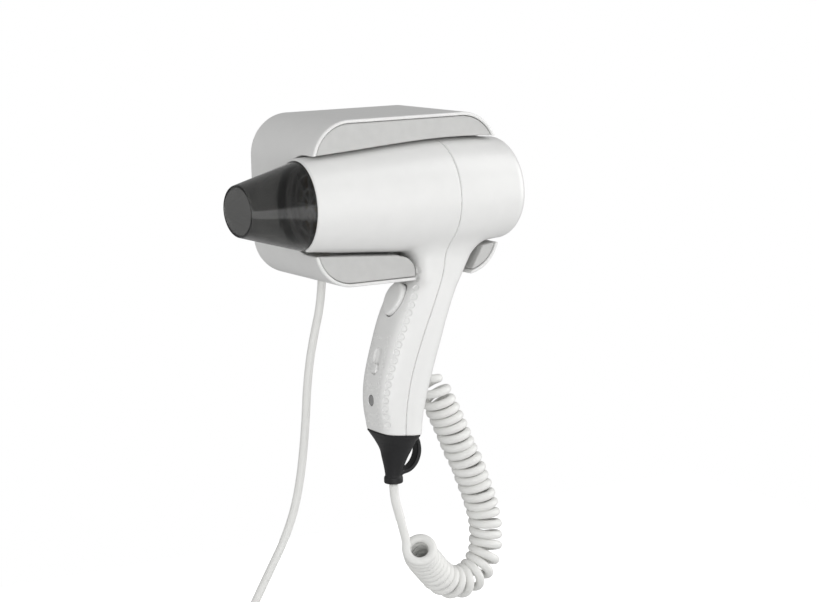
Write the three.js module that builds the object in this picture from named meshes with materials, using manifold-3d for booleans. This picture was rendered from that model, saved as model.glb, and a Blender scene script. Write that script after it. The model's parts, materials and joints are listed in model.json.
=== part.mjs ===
// Wall-mounted hair dryer: a wall holder with a cradle, and a pistol-grip dryer that rests in it.
// Millimetres. The wall is the plane Y = 0, the object stands out of it towards -Y, Z is up,
// and the origin is the middle of the wall plate's back face.
import * as THREE from 'three';
import { mergeVertices } from 'three/addons/utils/BufferGeometryUtils.js';
import Module from 'manifold-3d';

const wasm = await Module();
wasm.setup();

// ---------- driving dimensions ----------
const GAP = 0.3;                 // left between touching pieces
const HOLDER = { width: 147, height: 114.6, depth: 95.6, corner: 29, wall: 2.4 };
const LINER_WALL = 2.2;
const FACE_Y = -(HOLDER.depth - 0.8);       // the liner's face sits just behind the shell's rim
const AXIS_Y = -82;              // barrel axis, parallel to X at Z = 0
const CRADLE_GAP = { front: 2, rear: 1.3 };  // between the barrel and its cradle
const BARREL_WALL = 2.2;
const HANDLE_WALL = 2.2;
const RIM_X = -80;               // front end of the barrel
const RIM_BORE = 30.6;
const DOME_X = 75;               // where the rear dome begins
const DOME_DEPTH = 15.5;
const GRILLE_R = 27;             // rear opening
const NOZZLE_TIP_X = -124.2;
const HANDLE_BOTTOM = { x: -7, z: -165.1, tilt: 0.13 };
const CORD_D = 6;                // mains lead
const CURLY_D = 6.4;             // curly lead
const CURLY_OUTER = 24;          // outer diameter of its coil

// ---------- materials ----------
function material(color, roughness, metalness = 0) {
  return new THREE.MeshStandardMaterial({ color, roughness, metalness });
}
const whiteGloss = material(0xf1f1ef, 0.3);
const greyFace = material(0xb9babb, 0.5);
const smoke = material(0x2b2a2a, 0.2);
const blackRubber = material(0x151515, 0.6);
const whiteCord = material(0xe9e9e6, 0.5);
const greyPlastic = material(0x8c8c8c, 0.5);
const darkPlastic = material(0x333436, 0.6);
const steel = material(0xb0b2b4, 0.35, 1);
const nickel = material(0xc9c7c0, 0.25, 1);
const mica = material(0xb59a6a, 0.7);
const boardGreen = material(0x2d6b45, 0.6);

// ---------- solids from three.js geometries ----------
function solid(geometry) {
  const g = geometry.index ? geometry.toNonIndexed() : geometry.clone();
  g.deleteAttribute('normal');
  g.deleteAttribute('uv');
  const merged = mergeVertices(g, 1e-4);
  const mesh = new wasm.Mesh({
    numProp: 3,
    vertProperties: new Float32Array(merged.attributes.position.array),
    triVerts: new Uint32Array(merged.index.array),
  });
  mesh.merge();
  return new wasm.Manifold(mesh);
}

function geometryOf(manifold) {
  const mesh = manifold.getMesh();
  const g = new THREE.BufferGeometry();
  g.setAttribute('position', new THREE.BufferAttribute(new Float32Array(mesh.vertProperties), 3));
  g.setIndex(new THREE.BufferAttribute(new Uint32Array(mesh.triVerts), 1));
  g.computeVertexNormals();
  return g;
}

function join(list) {
  return list.reduce((sum, item) => sum.add(item));
}

const object = new THREE.Group();
function part(name, shape, mat, parent = object) {
  const geometry = shape.isBufferGeometry ? shape : geometryOf(shape);
  const mesh = new THREE.Mesh(geometry, mat);
  mesh.name = name;
  parent.add(mesh);
  return mesh;
}

// ---------- shape helpers ----------
function roundedRect(width, height, radius) {
  const w = width / 2;
  const h = height / 2;
  const s = new THREE.Shape();
  s.moveTo(-w + radius, -h);
  s.lineTo(w - radius, -h);
  s.absarc(w - radius, -h + radius, radius, -Math.PI / 2, 0);
  s.lineTo(w, h - radius);
  s.absarc(w - radius, h - radius, radius, 0, Math.PI / 2);
  s.lineTo(-w + radius, h);
  s.absarc(-w + radius, h - radius, radius, Math.PI / 2, Math.PI);
  s.lineTo(-w, -h + radius);
  s.absarc(-w + radius, -h + radius, radius, Math.PI, 1.5 * Math.PI);
  return s;
}

// A shape drawn in X and Z, pushed from yBack towards the room by depth.
function prismY(shape, yBack, depth, curveSegments = 8) {
  const g = new THREE.ExtrudeGeometry(shape, { depth, bevelEnabled: false, curveSegments });
  g.rotateX(Math.PI / 2);
  g.translate(0, yBack, 0);
  return g;
}

// A block given by its low and high corners.
function block(x0, y0, z0, x1, y1, z1) {
  const g = new THREE.BoxGeometry(x1 - x0, y1 - y0, z1 - z0);
  g.translate((x0 + x1) / 2, (y0 + y1) / 2, (z0 + z1) / 2);
  return g;
}

// A profile of [x, radius] pairs turned about the barrel axis.
function latheX(profile, segments = 28, y = AXIS_Y, z = 0) {
  const g = new THREE.LatheGeometry(profile.map(([x, r]) => new THREE.Vector2(r, x)), segments);
  g.rotateZ(-Math.PI / 2);
  g.translate(0, y, z);
  return facingOut(g);
}

// A profile of [z, radius] pairs turned about a vertical line through (x, y).
function latheZ(profile, x, y, segments = 14) {
  const g = new THREE.LatheGeometry(profile.map(([z, r]) => new THREE.Vector2(r, z)), segments);
  g.rotateX(Math.PI / 2);
  g.translate(x, y, 0);
  return facingOut(g);
}

// A round bar along Y.
function barY(x, z, radius, y0, y1, segments = 10) {
  const g = new THREE.CylinderGeometry(radius, radius, Math.abs(y1 - y0), segments);
  g.translate(x, (y0 + y1) / 2, z);
  return g;
}

// Closed skin through rings of points; each ring has the same number of points.
function loft(rings) {
  const n = rings[0].length;
  const points = rings.flat();
  const first = points.length;
  for (const ring of [rings[0], rings[rings.length - 1]]) {
    const middle = new THREE.Vector3();
    ring.forEach((p) => middle.addScaledVector(p, 1 / n));
    points.push(middle);
  }
  const index = [];
  for (let i = 0; i + 1 < rings.length; i += 1) {
    for (let j = 0; j < n; j += 1) {
      const a = i * n + j;
      const b = i * n + ((j + 1) % n);
      index.push(a, b, b + n, a, b + n, a + n);
    }
  }
  const last = (rings.length - 1) * n;
  for (let j = 0; j < n; j += 1) {
    const k = (j + 1) % n;
    index.push(first, k, j);
    index.push(first + 1, last + j, last + k);
  }
  const g = new THREE.BufferGeometry();
  const xyz = points.flatMap((p) => [p.x, p.y, p.z]);
  g.setAttribute('position', new THREE.BufferAttribute(new Float32Array(xyz), 3));
  g.setIndex(index);
  return facingOut(g);
}

function volumeOf(g) {
  const p = g.attributes.position;
  const ids = g.index.array;
  const [a, b, c] = [new THREE.Vector3(), new THREE.Vector3(), new THREE.Vector3()];
  let sum = 0;
  for (let i = 0; i < ids.length; i += 3) {
    a.fromBufferAttribute(p, ids[i]);
    b.fromBufferAttribute(p, ids[i + 1]);
    c.fromBufferAttribute(p, ids[i + 2]);
    sum += a.dot(b.cross(c));
  }
  return sum;
}

function facingOut(g) {
  if (volumeOf(g) > 0) return g;
  const ids = Array.from(g.index.array);
  for (let i = 0; i < ids.length; i += 3) {
    [ids[i + 1], ids[i + 2]] = [ids[i + 2], ids[i + 1]];
  }
  g.setIndex(ids);
  return g;
}

// A smooth y(x) through a few knots [x, y], x in order.
function smooth(knots) {
  const slope = knots.map((k, i) => {
    const before = knots[Math.max(i - 1, 0)];
    const after = knots[Math.min(i + 1, knots.length - 1)];
    return (after[1] - before[1]) / (after[0] - before[0]);
  });
  const direction = Math.sign(knots[1][0] - knots[0][0]);
  return (x) => {
    let i = 0;
    while (i < knots.length - 2 && direction * (x - knots[i + 1][0]) > 0) i += 1;
    const width = knots[i + 1][0] - knots[i][0];
    const t = THREE.MathUtils.clamp((x - knots[i][0]) / width, 0, 1);
    const rise = knots[i + 1][1] - knots[i][1];
    const bend = (slope[i] * width - rise) * (1 - t) + (rise - slope[i + 1] * width) * t;
    return knots[i][1] + rise * t + t * (1 - t) * bend;
  };
}

function steps(from, to, count) {
  return Array.from({ length: count + 1 }, (_, i) => from + ((to - from) * i) / count);
}

// A round cord of the given diameter along a list of points.
function tube(points, diameter, sides, stepLength) {
  const knots = points.map((p) => new THREE.Vector3(...p));
  const curve = new THREE.CatmullRomCurve3(knots, false, 'centripetal');
  const circle = new THREE.Shape();
  steps(0, 2 * Math.PI, sides).slice(0, -1).forEach((angle, i) => {
    const x = (diameter / 2) * Math.cos(angle);
    const y = (diameter / 2) * Math.sin(angle);
    if (i === 0) circle.moveTo(x, y);
    else circle.lineTo(x, y);
  });
  const count = Math.max(2, Math.round(curve.getLength() / stepLength));
  return new THREE.ExtrudeGeometry(circle, { extrudePath: curve, steps: count, bevelEnabled: false });
}

// ---------- barrel, handle and cradle outlines ----------
const barrelRadius = smooth([[RIM_X, 32.2], [-60, 33.6], [-40, 35], [-20, 36.5], [0, 37.9], [20, 38.9],
  [38, 39.2], [55, 38.8], [DOME_X, 37.4]]);

// Rear dome: a quarter ellipse that stops at the rear grille.
function domePoint(radius, inset) {
  const full = barrelRadius(DOME_X) - inset;
  return [DOME_X + (DOME_DEPTH - inset) * Math.sqrt(1 - (radius / full) ** 2), radius];
}

function barrelProfile(inset, domeRadii) {
  const body = steps(RIM_X, DOME_X, 9).map((x) => [x, barrelRadius(x) - inset]);
  return body.concat(domeRadii.map((radius) => domePoint(radius, inset)));
}

// Handle: its front and rear faces, and half its width, at each height.
const handleFront = smooth([[-15, 6.8], [-40, 6.3], [-53, 6.2], [-57.6, 5.4], [-61, 2.2], [-66, -2.8],
  [-75, -7.8], [-83, -11.6], [-92, -15], [-103, -18.6], [-115, -22.3], [-127, -25.2], [-139, -26.4],
  [-149, -26], [-158, -24.2], [-170, -22.3]]);
const handleRear = smooth([[-15, 60], [-34, 57], [-44, 51.8], [-54, 45.8], [-67, 38.8], [-84, 31.8],
  [-100, 26.4], [-118, 20.4], [-137, 14.6], [-149, 11.6], [-158, 10], [-170, 9]]);
const handleHalfWidth = smooth([[-15, 19], [-56, 19.6], [-75, 20.6], [-100, 20.4], [-130, 19.4],
  [-150, 18.2], [-170, 17]]);
const FRONT_POWER = 3.6;
const REAR_POWER = 2.6;

function handleRing(z, inset, count) {
  const front = handleFront(z) + inset;
  const rear = handleRear(z) - inset;
  const middle = (front + rear) / 2;
  const half = (rear - front) / 2;
  const width = handleHalfWidth(z) - inset;
  return steps(0, 2 * Math.PI, count).slice(0, -1).map((angle) => {
    const c = Math.cos(angle);
    const s = Math.sin(angle);
    const power = c < 0 ? FRONT_POWER : REAR_POWER;
    const x = middle + half * Math.sign(c) * Math.abs(c) ** (2 / power);
    const y = AXIS_Y + width * Math.sign(s) * Math.abs(s) ** (2 / power);
    return new THREE.Vector3(x, y, z);
  });
}

const HANDLE_LEVELS = [-40, -54, -57.6, -61, -66, -70, -75, -86, -98, -110, -122, -134, -144, -154, -170];
function handleSolid(inset) {
  return solid(loft([-15, ...HANDLE_LEVELS].map((z) => handleRing(z, inset, 20))));
}

// Cradle: a round-bottomed channel that is open to the room, a little wider than the barrel and
// closer to it at the rear.
function cradle(offset, xFrom = -84, xTo = 96) {
  const rings = steps(xFrom, xTo, 10).map((x) => {
    const rearward = THREE.MathUtils.clamp((x - 20) / 40, 0, 1);
    const gap = THREE.MathUtils.lerp(CRADLE_GAP.front, CRADLE_GAP.rear, rearward);
    const radius = barrelRadius(THREE.MathUtils.clamp(x, RIM_X, DOME_X)) + gap + offset;
    const arc = steps(Math.PI, 0, 14).map((angle) => new THREE.Vector3(
      x, AXIS_Y + radius * Math.sin(angle), radius * Math.cos(angle)));
    arc.push(new THREE.Vector3(x, -110, radius), new THREE.Vector3(x, -110, -radius));
    return arc;
  });
  return solid(loft(rings));
}

// Slot under the cradle for the handle, drawn in X and Z.
const SLOT = { left: 4.4, corner: 12, topRight: 60.6, bottomRight: 48.2, back: -58.5, bottom: -62 };
function slotShape(grow) {
  const s = new THREE.Shape();
  const left = SLOT.left - grow;
  const top = -39.4;
  s.moveTo(left - SLOT.corner, -30);
  s.lineTo(left - SLOT.corner, top);
  s.absarc(left - SLOT.corner, top - SLOT.corner, SLOT.corner, Math.PI / 2, 0, true);
  s.lineTo(left, SLOT.bottom);
  s.lineTo(SLOT.bottomRight + grow, SLOT.bottom);
  s.lineTo(SLOT.bottomRight + grow, -57.3);
  s.lineTo(SLOT.topRight + grow, -36);
  s.lineTo(SLOT.topRight + grow, -30);
  return s;
}
function slot(grow) {
  const back = SLOT.back + grow;
  return solid(prismY(slotShape(grow), back, back + 110, 5));
}

// ---------- holder ----------
function holderOutline(inset) {
  return roundedRect(HOLDER.width - 2 * inset, HOLDER.height - 2 * inset, HOLDER.corner - inset);
}
const MAINS_EXIT = { x: -29.5, y: -20, z: -HOLDER.height / 2 };
const CURLY_EXIT = { x: 37, y: -27, z: -HOLDER.height / 2 };
const GLAND_HOLE_R = 5.6;

function glandHole(exit) {
  const [low, high] = [exit.z - 5, exit.z + 8];
  const profile = [[low, 0], [low, GLAND_HOLE_R], [high, GLAND_HOLE_R], [high, 0]];
  return solid(latheZ(profile, exit.x, exit.y, 16));
}

const SHELL_BACK = -0.8;
const shell = solid(prismY(holderOutline(0), SHELL_BACK, HOLDER.depth + SHELL_BACK))
  .subtract(solid(prismY(holderOutline(HOLDER.wall), 2, HOLDER.depth + 4)))
  .subtract(cradle(0))
  .subtract(slot(0))
  .subtract(glandHole(MAINS_EXIT))
  .subtract(glandHole(CURLY_EXIT));
part('holder_shell', shell, whiteGloss);

const linerInset = HOLDER.wall + 0.4;
const LINER_BACK = -38;
const linerCavity = solid(prismY(holderOutline(linerInset + LINER_WALL), LINER_BACK + 1,
  Math.abs(FACE_Y) + LINER_BACK + 1 - LINER_WALL))
  .subtract(cradle(LINER_WALL))
  .subtract(slot(LINER_WALL));
const liner = solid(prismY(holderOutline(linerInset), LINER_BACK, Math.abs(FACE_Y) + LINER_BACK))
  .subtract(cradle(0))
  .subtract(slot(0))
  .subtract(linerCavity);
part('holder_liner', liner, greyFace);

const PLATE_THICK = 3;
const SCREW_X = 46;
const SCREW_Z = 20;
const plate = [-SCREW_X, SCREW_X].reduce(
  (sum, x) => sum.subtract(solid(barY(x, SCREW_Z, 2.6, 1, -PLATE_THICK - 1))),
  solid(prismY(holderOutline(linerInset), 0, PLATE_THICK)));
part('wall_plate', plate, greyPlastic);

function wallScrew(name, x) {
  const head = solid(barY(x, SCREW_Z, 4.4, -PLATE_THICK - GAP, -PLATE_THICK - GAP - 2.6));
  const shank = solid(barY(x, SCREW_Z, 2.2, -0.2, -PLATE_THICK - 1.5));
  const cross = solid(block(x - 2.6, -8, SCREW_Z - 0.5, x + 2.6, -PLATE_THICK - 1.6, SCREW_Z + 0.5));
  part(name, head.add(shank).subtract(cross), steel);
}
wallScrew('wall_screw_left', -SCREW_X);
wallScrew('wall_screw_right', SCREW_X);

// Terminal block: a bar with three screw wells.
const TERMINAL = { x: -4, z: -8, width: 36, height: 16, depth: 15 };
const terminalFront = -PLATE_THICK - GAP - TERMINAL.depth;
const wells = [-11, 0, 11].map((dx) => solid(
  barY(TERMINAL.x + dx, TERMINAL.z, 3, terminalFront - 1, terminalFront + 8)));
const terminal = wells.reduce(
  (sum, well) => sum.subtract(well),
  solid(block(TERMINAL.x - TERMINAL.width / 2, terminalFront, TERMINAL.z - TERMINAL.height / 2,
    TERMINAL.x + TERMINAL.width / 2, -PLATE_THICK - GAP, TERMINAL.z + TERMINAL.height / 2)));
part('terminal_block', terminal, whiteCord);

// Tapered relief that carries a lead out of the holder's underside; tilted a little where the lead leans.
const GLAND_TOP = 5.2;
function gland(name, exit, leadD, tilt, length) {
  const r = leadD / 2;
  const flange = 7.5;
  const g = latheZ([[-length, 0], [-length, r + 0.3], [-1, r + 1.2], [0, r + 1.6],
    [3.2, r + 1.6], [3.2, flange], [GLAND_TOP, flange], [GLAND_TOP, 0]], 0, 0, 16);
  const mesh = part(name, g, whiteCord);
  mesh.position.set(exit.x, exit.y, exit.z);
  mesh.rotation.y = tilt;
  return new THREE.Vector3(0, 0, -length - 2 * GAP).applyEuler(mesh.rotation).add(mesh.position);
}
const MAINS_TILT = 0.1;
const mainsStart = gland('mains_gland', MAINS_EXIT, CORD_D, MAINS_TILT, 2.6);
const curlyStart = gland('curly_gland', CURLY_EXIT, CURLY_D, 0, 22);

// A lead's inner end, from its gland up into the terminal block.
function innerLead(name, exit, leadD, tilt, end) {
  const top = new THREE.Vector3(0, 0, GLAND_TOP + GAP).applyAxisAngle(new THREE.Vector3(0, 1, 0), tilt);
  const from = [exit.x + top.x, exit.y, exit.z + top.z];
  const bend = [from[0], exit.y, exit.z + 17];
  const halfway = end.map((v, i) => (v + bend[i]) / 2);
  part(name, tube([from, bend, halfway, end], leadD, 8, 8), whiteCord);
}
const underTerminal = TERMINAL.z - TERMINAL.height / 2 - 3.7;
innerLead('mains_lead_inner', MAINS_EXIT, CORD_D, MAINS_TILT, [-14, -10.5, underTerminal]);
innerLead('curly_lead_inner', CURLY_EXIT, CURLY_D, 0, [8, -12, underTerminal]);

// ---------- mains lead, its stored coil and the plug ----------
const COIL = { x: -77, y: -20, z: -350, radius: 33, thick: 9.4 };
const mainsRoute = [
  [-31.2, -20, -73], [-33.5, -20, -86], [-37, -20, -99], [-41.6, -20, -119], [-44.8, -20, -140.7],
  [-46.8, -20, -162.5], [-49.4, -20, -184], [-53, -20, -205.7], [-58.6, -20, -227.2], [-67.4, -20, -248],
  [-79.2, -20, -268.2], [-91.2, -20, -288.5], [-98, -20, -301], [-102.2, -20, -311]];
part('mains_cord', tube([mainsStart.toArray(), ...mainsRoute], CORD_D, 10, 14), whiteCord);

const ringProfile = steps(0, 2 * Math.PI, 10).map((angle) => new THREE.Vector2(
  COIL.radius + COIL.thick * Math.cos(angle), COIL.thick * Math.sin(angle)));
const coilMesh = part('mains_coil', solid(new THREE.LatheGeometry(ringProfile, 24)), whiteCord);
coilMesh.position.set(COIL.x, COIL.y, COIL.z);

// A band round the coil's top, clear of it.
const TIE = { inner: COIL.thick + 0.7, outer: COIL.thick + 1.5, half: 4 };
function tieRing(radius, half) {
  const g = new THREE.CylinderGeometry(radius, radius, 2 * half, 14);
  g.rotateZ(Math.PI / 2);
  return solid(g);
}
const tie = tieRing(TIE.outer, TIE.half).subtract(tieRing(TIE.inner, TIE.half + 1));
const tieMesh = part('coil_tie', tie, darkPlastic);
tieMesh.position.set(COIL.x, COIL.y, COIL.z + COIL.radius);

const PLUG = { x: -112.5, y: -20, top: -394, relief: 18, body: 30, pin: 19, halfWidth: 17, halfThick: 9 };
const tailRoute = [[-112.2, -20, -383.5], [-112.5, -20, -388], [PLUG.x, PLUG.y, PLUG.top + GAP]];
part('mains_tail', tube(tailRoute, CORD_D, 10, 4), whiteCord);

function ovalRing(z, halfX, halfY, count = 20) {
  return steps(0, 2 * Math.PI, count).slice(0, -1).map((angle) => new THREE.Vector3(
    PLUG.x + halfX * Math.cos(angle), PLUG.y + halfY * Math.sin(angle), z));
}
const bodyTop = PLUG.top - PLUG.relief;
const bodyEnd = bodyTop - PLUG.body;
const plugBody = loft([
  ovalRing(PLUG.top, 4, 4), ovalRing(bodyTop, 6, 5.6), ovalRing(bodyTop - 6, 12, 7.4),
  ovalRing(bodyTop - 14, PLUG.halfWidth, PLUG.halfThick),
  ovalRing(bodyEnd, PLUG.halfWidth, PLUG.halfThick)]);
part('plug_body', plugBody, whiteCord);
const PIN_SPACING = 19;
function plugPin(name, side) {
  const r = 2.4;
  const z = bodyEnd - GAP;
  const x = PLUG.x + side * PIN_SPACING / 2;
  const profile = [[z, 0], [z, r], [z - PLUG.pin + 2, r], [z - PLUG.pin, r * 0.5], [z - PLUG.pin, 0]];
  part(name, latheZ(profile, x, PLUG.y, 12), nickel);
}
plugPin('plug_pin_left', -1);
plugPin('plug_pin_right', 1);

// ---------- curly lead ----------
const GUARD_END = { x: -10.4, z: -201.6 };
part('curly_lead_dryer', tube([[GUARD_END.x, AXIS_Y, GUARD_END.z - GAP], [-9.6, -81.6, -213],
  [-6.4, -79.8, -226], [-3.2, -77, -239.5]], CURLY_D, 8, 12), whiteCord);
part('curly_cord', tube([
  [5.2, -84, -251.1], [13.7, -76, -260.1], [25.6, -68, -271.3], [35.6, -62, -281], [45.7, -59, -287.9],
  [57.1, -57, -290.3], [67.4, -56, -287.6], [75.4, -55, -280.7], [80.2, -55, -271.5], [82, -54, -261],
  [81.6, -54, -250], [79.8, -53, -238.5], [76.4, -53, -227], [72.4, -52, -215.6], [68.3, -52, -204],
  [64.1, -51, -192.4], [59.9, -51, -181], [55.6, -50, -169.8], [51.4, -49, -159.6], [47.4, -48, -150],
  [44.4, -47, -141.5], [41.8, -46, -133]], CURLY_OUTER, 10, 14), whiteCord);
part('curly_lead_holder', tube([[40.4, -44.6, -120.5], [38.6, -40.5, -108], [37.4, -33, -96],
  [37, -28, -87], curlyStart.toArray()], CURLY_D, 8, 12), whiteCord);

// ---------- dryer housings ----------
const domeRadii = [36, 33.5, 30.4, GRILLE_R];
const outerBarrel = [[RIM_X, 0], ...barrelProfile(0, domeRadii), [domePoint(GRILLE_R, 0)[0], 0]];
const outer = solid(latheX(outerBarrel)).add(handleSolid(0));
const innerBarrel = [[RIM_X - 2, 0], [RIM_X - 2, RIM_BORE], [-62, RIM_BORE]]
  .concat(steps(-50, DOME_X, 7).map((x) => [x, barrelRadius(x) - BARREL_WALL]))
  .concat([[81, 31.6], [83.2, GRILLE_R - 0.3], [95, GRILLE_R - 0.3], [95, 0]]);
const inner = solid(latheX(innerBarrel)).add(handleSolid(HANDLE_WALL));

// The handle ends in a plane that leans a little towards the rear.
const below = new THREE.BoxGeometry(90, 60, 30);
below.translate(0, 0, -15);
below.rotateY(HANDLE_BOTTOM.tilt);
below.translate(HANDLE_BOTTOM.x, AXIS_Y, HANDLE_BOTTOM.z);
const casing = outer.subtract(inner).subtract(solid(below));

// Parting line between the front and rear housings, from the barrel's top down the handle.
const PARTING = [[27.6, 60], [27.5, 0], [27.2, -28], [25.8, -37], [23.6, -50], [21.2, -58], [15.4, -71.4],
  [9.4, -85], [3.8, -98.4], [-1.2, -112], [-5.2, -125.6], [-7.9, -139.4], [-9.1, -153.4], [-8.8, -180]];
function partingRegion(side) {
  const s = new THREE.Shape();
  PARTING.forEach(([x, z], i) => {
    const edge = x - side * (GAP / 2);
    if (i === 0) s.moveTo(edge, z);
    else s.lineTo(edge, z);
  });
  s.lineTo(side * 160, -180);
  s.lineTo(side * 160, 60);
  return solid(prismY(s, -30, 110));
}

// Face frame on the handle's front: a point on it and the way it leans.
function onHandleFront(z) {
  const rise = (handleFront(z + 2) - handleFront(z - 2)) / 4;
  return { x: handleFront(z), z, lean: Math.atan(rise) };
}

// Turns a shape whose local +Z points out of the handle's front face into its place.
function placeOnFront(item, z) {
  const at = onHandleFront(z);
  item.rotation.set(0, -Math.PI / 2 + at.lean, 0);
  item.position.set(at.x, AXIS_Y, z);
  item.updateMatrix();
  return item;
}
function cutOnFront(geometry, z) {
  const holder = placeOnFront(new THREE.Object3D(), z);
  return solid(geometry.clone().applyMatrix4(holder.matrix));
}

// Push button: an egg outline, wide above and narrow below. Local X runs up the handle.
const BUTTON_Z = -71.6;
function eggShape(grow) {
  const s = new THREE.Shape();
  const half = 10.4 + grow;
  const top = 10.6 + grow;
  const bottom = -11.6 - grow;
  s.moveTo(top, 0);
  s.bezierCurveTo(top, half * 0.9, 7, half, 3, half);
  s.bezierCurveTo(-4, half, bottom, half * 0.62, bottom, 0);
  s.bezierCurveTo(bottom, -half * 0.62, -4, -half, 3, -half);
  s.bezierCurveTo(7, -half, top, -half * 0.9, top, 0);
  return s;
}
function onFace(shape, from, to, bevel = 0, curveSegments = 5) {
  const g = new THREE.ExtrudeGeometry(shape, {
    depth: to - from - 2 * bevel,
    bevelEnabled: bevel > 0,
    bevelThickness: bevel,
    bevelSize: bevel,
    bevelOffset: -bevel,
    bevelSegments: 2,
    curveSegments,
  });
  g.translate(0, 0, from + bevel);
  return g;
}
const buttonHole = cutOnFront(onFace(eggShape(0.5), -12, 10), BUTTON_Z);

// Slide switch: a shallow pocket with a knob in it.
const POCKET_Z = -113;
const POCKET = { length: 19, width: 9.4, depth: 1.4 };
const KNOB = { length: 6.4, width: 8, proud: 1.6, offset: 5.2 };
const pocketOutline = roundedRect(POCKET.length, POCKET.width, 4);
const pocket = cutOnFront(onFace(pocketOutline, -POCKET.depth, 6, 0, 4), POCKET_Z);
const stemSlot = cutOnFront(onFace(roundedRect(POCKET.length - 3, 3.4, 1.6), -12, 6, 0, 3), POCKET_Z);

const PLUG_Z = -140.4;
function disc(radius, y = 0) {
  return new THREE.Shape().absarc(0, y, radius, 0, 2 * Math.PI);
}
const screwHole = cutOnFront(onFace(disc(3.9), -12, 6), PLUG_Z);

const front = casing.subtract(partingRegion(1)).subtract(buttonHole).subtract(pocket).subtract(stemSlot)
  .subtract(screwHole);
part('front_housing', front, whiteGloss);
part('rear_housing', casing.subtract(partingRegion(-1)), whiteGloss);

// ---------- rear and outlet grilles ----------
function ringBar(xFrom, xTo, rFrom, rTo) {
  return solid(latheX([[xFrom, rFrom], [xTo, rFrom], [xTo, rTo], [xFrom, rTo], [xFrom, rFrom]], 20));
}
function spokes(count, xFrom, xTo, width, rTo) {
  return steps(0, Math.PI, count).slice(0, -1).map((angle) => {
    const g = block(xFrom, -rTo, -width / 2, xTo, rTo, width / 2);
    g.rotateX(angle);
    g.translate(0, AXIS_Y, 0);
    return solid(g);
  });
}
const rearGrille = join([
  ringBar(83.6, 86.6, 23.2, GRILLE_R - 0.7),
  ringBar(84.8, 87.8, 17.4, 20),
  ringBar(85.6, 88.6, 11.6, 14.2),
  solid(latheX([[86, 0], [86, 8], [89, 8], [90, 5], [90.4, 0]], 24)),
  ...spokes(3, 85, 86.6, 2, 24)]);
part('rear_grille', rearGrille, darkPlastic);

const OUTLET = { x: -70, radius: RIM_BORE - 0.4 };
const outletGrille = join([
  ringBar(OUTLET.x, OUTLET.x + 4, OUTLET.radius - 2.2, OUTLET.radius),
  ringBar(OUTLET.x, OUTLET.x + 2.4, 20.4, 22),
  ringBar(OUTLET.x, OUTLET.x + 2.4, 10.4, 12),
  ...spokes(4, OUTLET.x, OUTLET.x + 2.4, 1.6, OUTLET.radius - 1)]);
part('outlet_grille', outletGrille, darkPlastic);

// ---------- nozzle ----------
const NOZZLE = { baseX: -73, baseR: RIM_BORE - 0.4, wall: 1.6, tipHalfY: 22, tipHalfZ: 17.5 };
function nozzleSolid(inset, overrun) {
  const rings = [NOZZLE.baseX + overrun, RIM_X, -90, -101, -112, NOZZLE_TIP_X - overrun].map((x) => {
    const t = THREE.MathUtils.clamp((RIM_X - x) / (RIM_X - NOZZLE_TIP_X), 0, 1);
    const halfY = THREE.MathUtils.lerp(NOZZLE.baseR, NOZZLE.tipHalfY, t) - inset;
    const halfZ = THREE.MathUtils.lerp(NOZZLE.baseR, NOZZLE.tipHalfZ, t) - inset;
    return steps(0, 2 * Math.PI, 28).slice(0, -1).map((angle) => new THREE.Vector3(
      x, AXIS_Y + halfY * Math.cos(angle), halfZ * Math.sin(angle)));
  });
  return solid(loft(rings));
}
part('nozzle', nozzleSolid(0, 0).subtract(nozzleSolid(NOZZLE.wall, 1)), smoke);

// ---------- heater ----------
const HEATER = { from: -62, to: 2, tubeR: 26.4 };
part('heater_tube', ringBar(HEATER.from, HEATER.to, HEATER.tubeR, HEATER.tubeR + 0.9), mica);
const boards = [0, Math.PI / 2].map((angle) => {
  const g = block(HEATER.from + 1, -18.5, -0.6, HEATER.to - 6, 18.5, 0.6);
  g.rotateX(angle);
  g.translate(0, AXIS_Y, 0);
  return solid(g);
});
part('mica_cross', join(boards), mica);
const COIL_TURNS = 4;
const HELIX_R = 21.5;
const helix = steps(0, COIL_TURNS * 8, COIL_TURNS * 8).map((i) => {
  const angle = (i / 8) * 2 * Math.PI;
  const x = THREE.MathUtils.lerp(HEATER.from + 6, HEATER.to - 12, i / (COIL_TURNS * 8));
  return [x, AXIS_Y + HELIX_R * Math.cos(angle), HELIX_R * Math.sin(angle)];
});
part('heating_coil', tube(helix, 3, 5, 17), nickel);
const thermostat = [[-7, 0], [-7, 5.4], [-1.5, 5.4], [-1.5, 3.6], [1, 3.6], [1, 0]];
part('thermostat', latheX(thermostat, 16, AXIS_Y + 9, 9), steel);

// ---------- motor, duct and fan ----------
const MOTOR = { from: 10, to: 40, radius: 14 };
part('motor', latheX([[MOTOR.from, 0], [MOTOR.from, 5], [MOTOR.from + 2, 5], [MOTOR.from + 2, MOTOR.radius],
  [MOTOR.to - 2, MOTOR.radius], [MOTOR.to - 2, 5], [MOTOR.to, 5], [MOTOR.to, 0]], 24), steel);
part('motor_board', latheX([[5.2, 0], [5.2, 12], [6.8, 12], [6.8, 0]], 20), boardGreen);
const DUCT = { from: 14, to: 36, outerR: 35.4, outerWall: 1.5, hubR: MOTOR.radius + 0.4, hubWall: 1.4 };
const vanes = Array.from({ length: 5 }, (_, i) => {
  const g = block(DUCT.from + 3, -0.8, DUCT.hubR + 0.6, DUCT.to - 4, 0.8, DUCT.outerR - 0.8);
  g.rotateX((i / 5) * 2 * Math.PI);
  g.translate(0, AXIS_Y, 0);
  return solid(g);
});
part('fan_duct', join([
  ringBar(DUCT.from, DUCT.to, DUCT.outerR - DUCT.outerWall, DUCT.outerR),
  ringBar(DUCT.from, DUCT.to, DUCT.hubR, DUCT.hubR + DUCT.hubWall), ...vanes]), darkPlastic);

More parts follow.
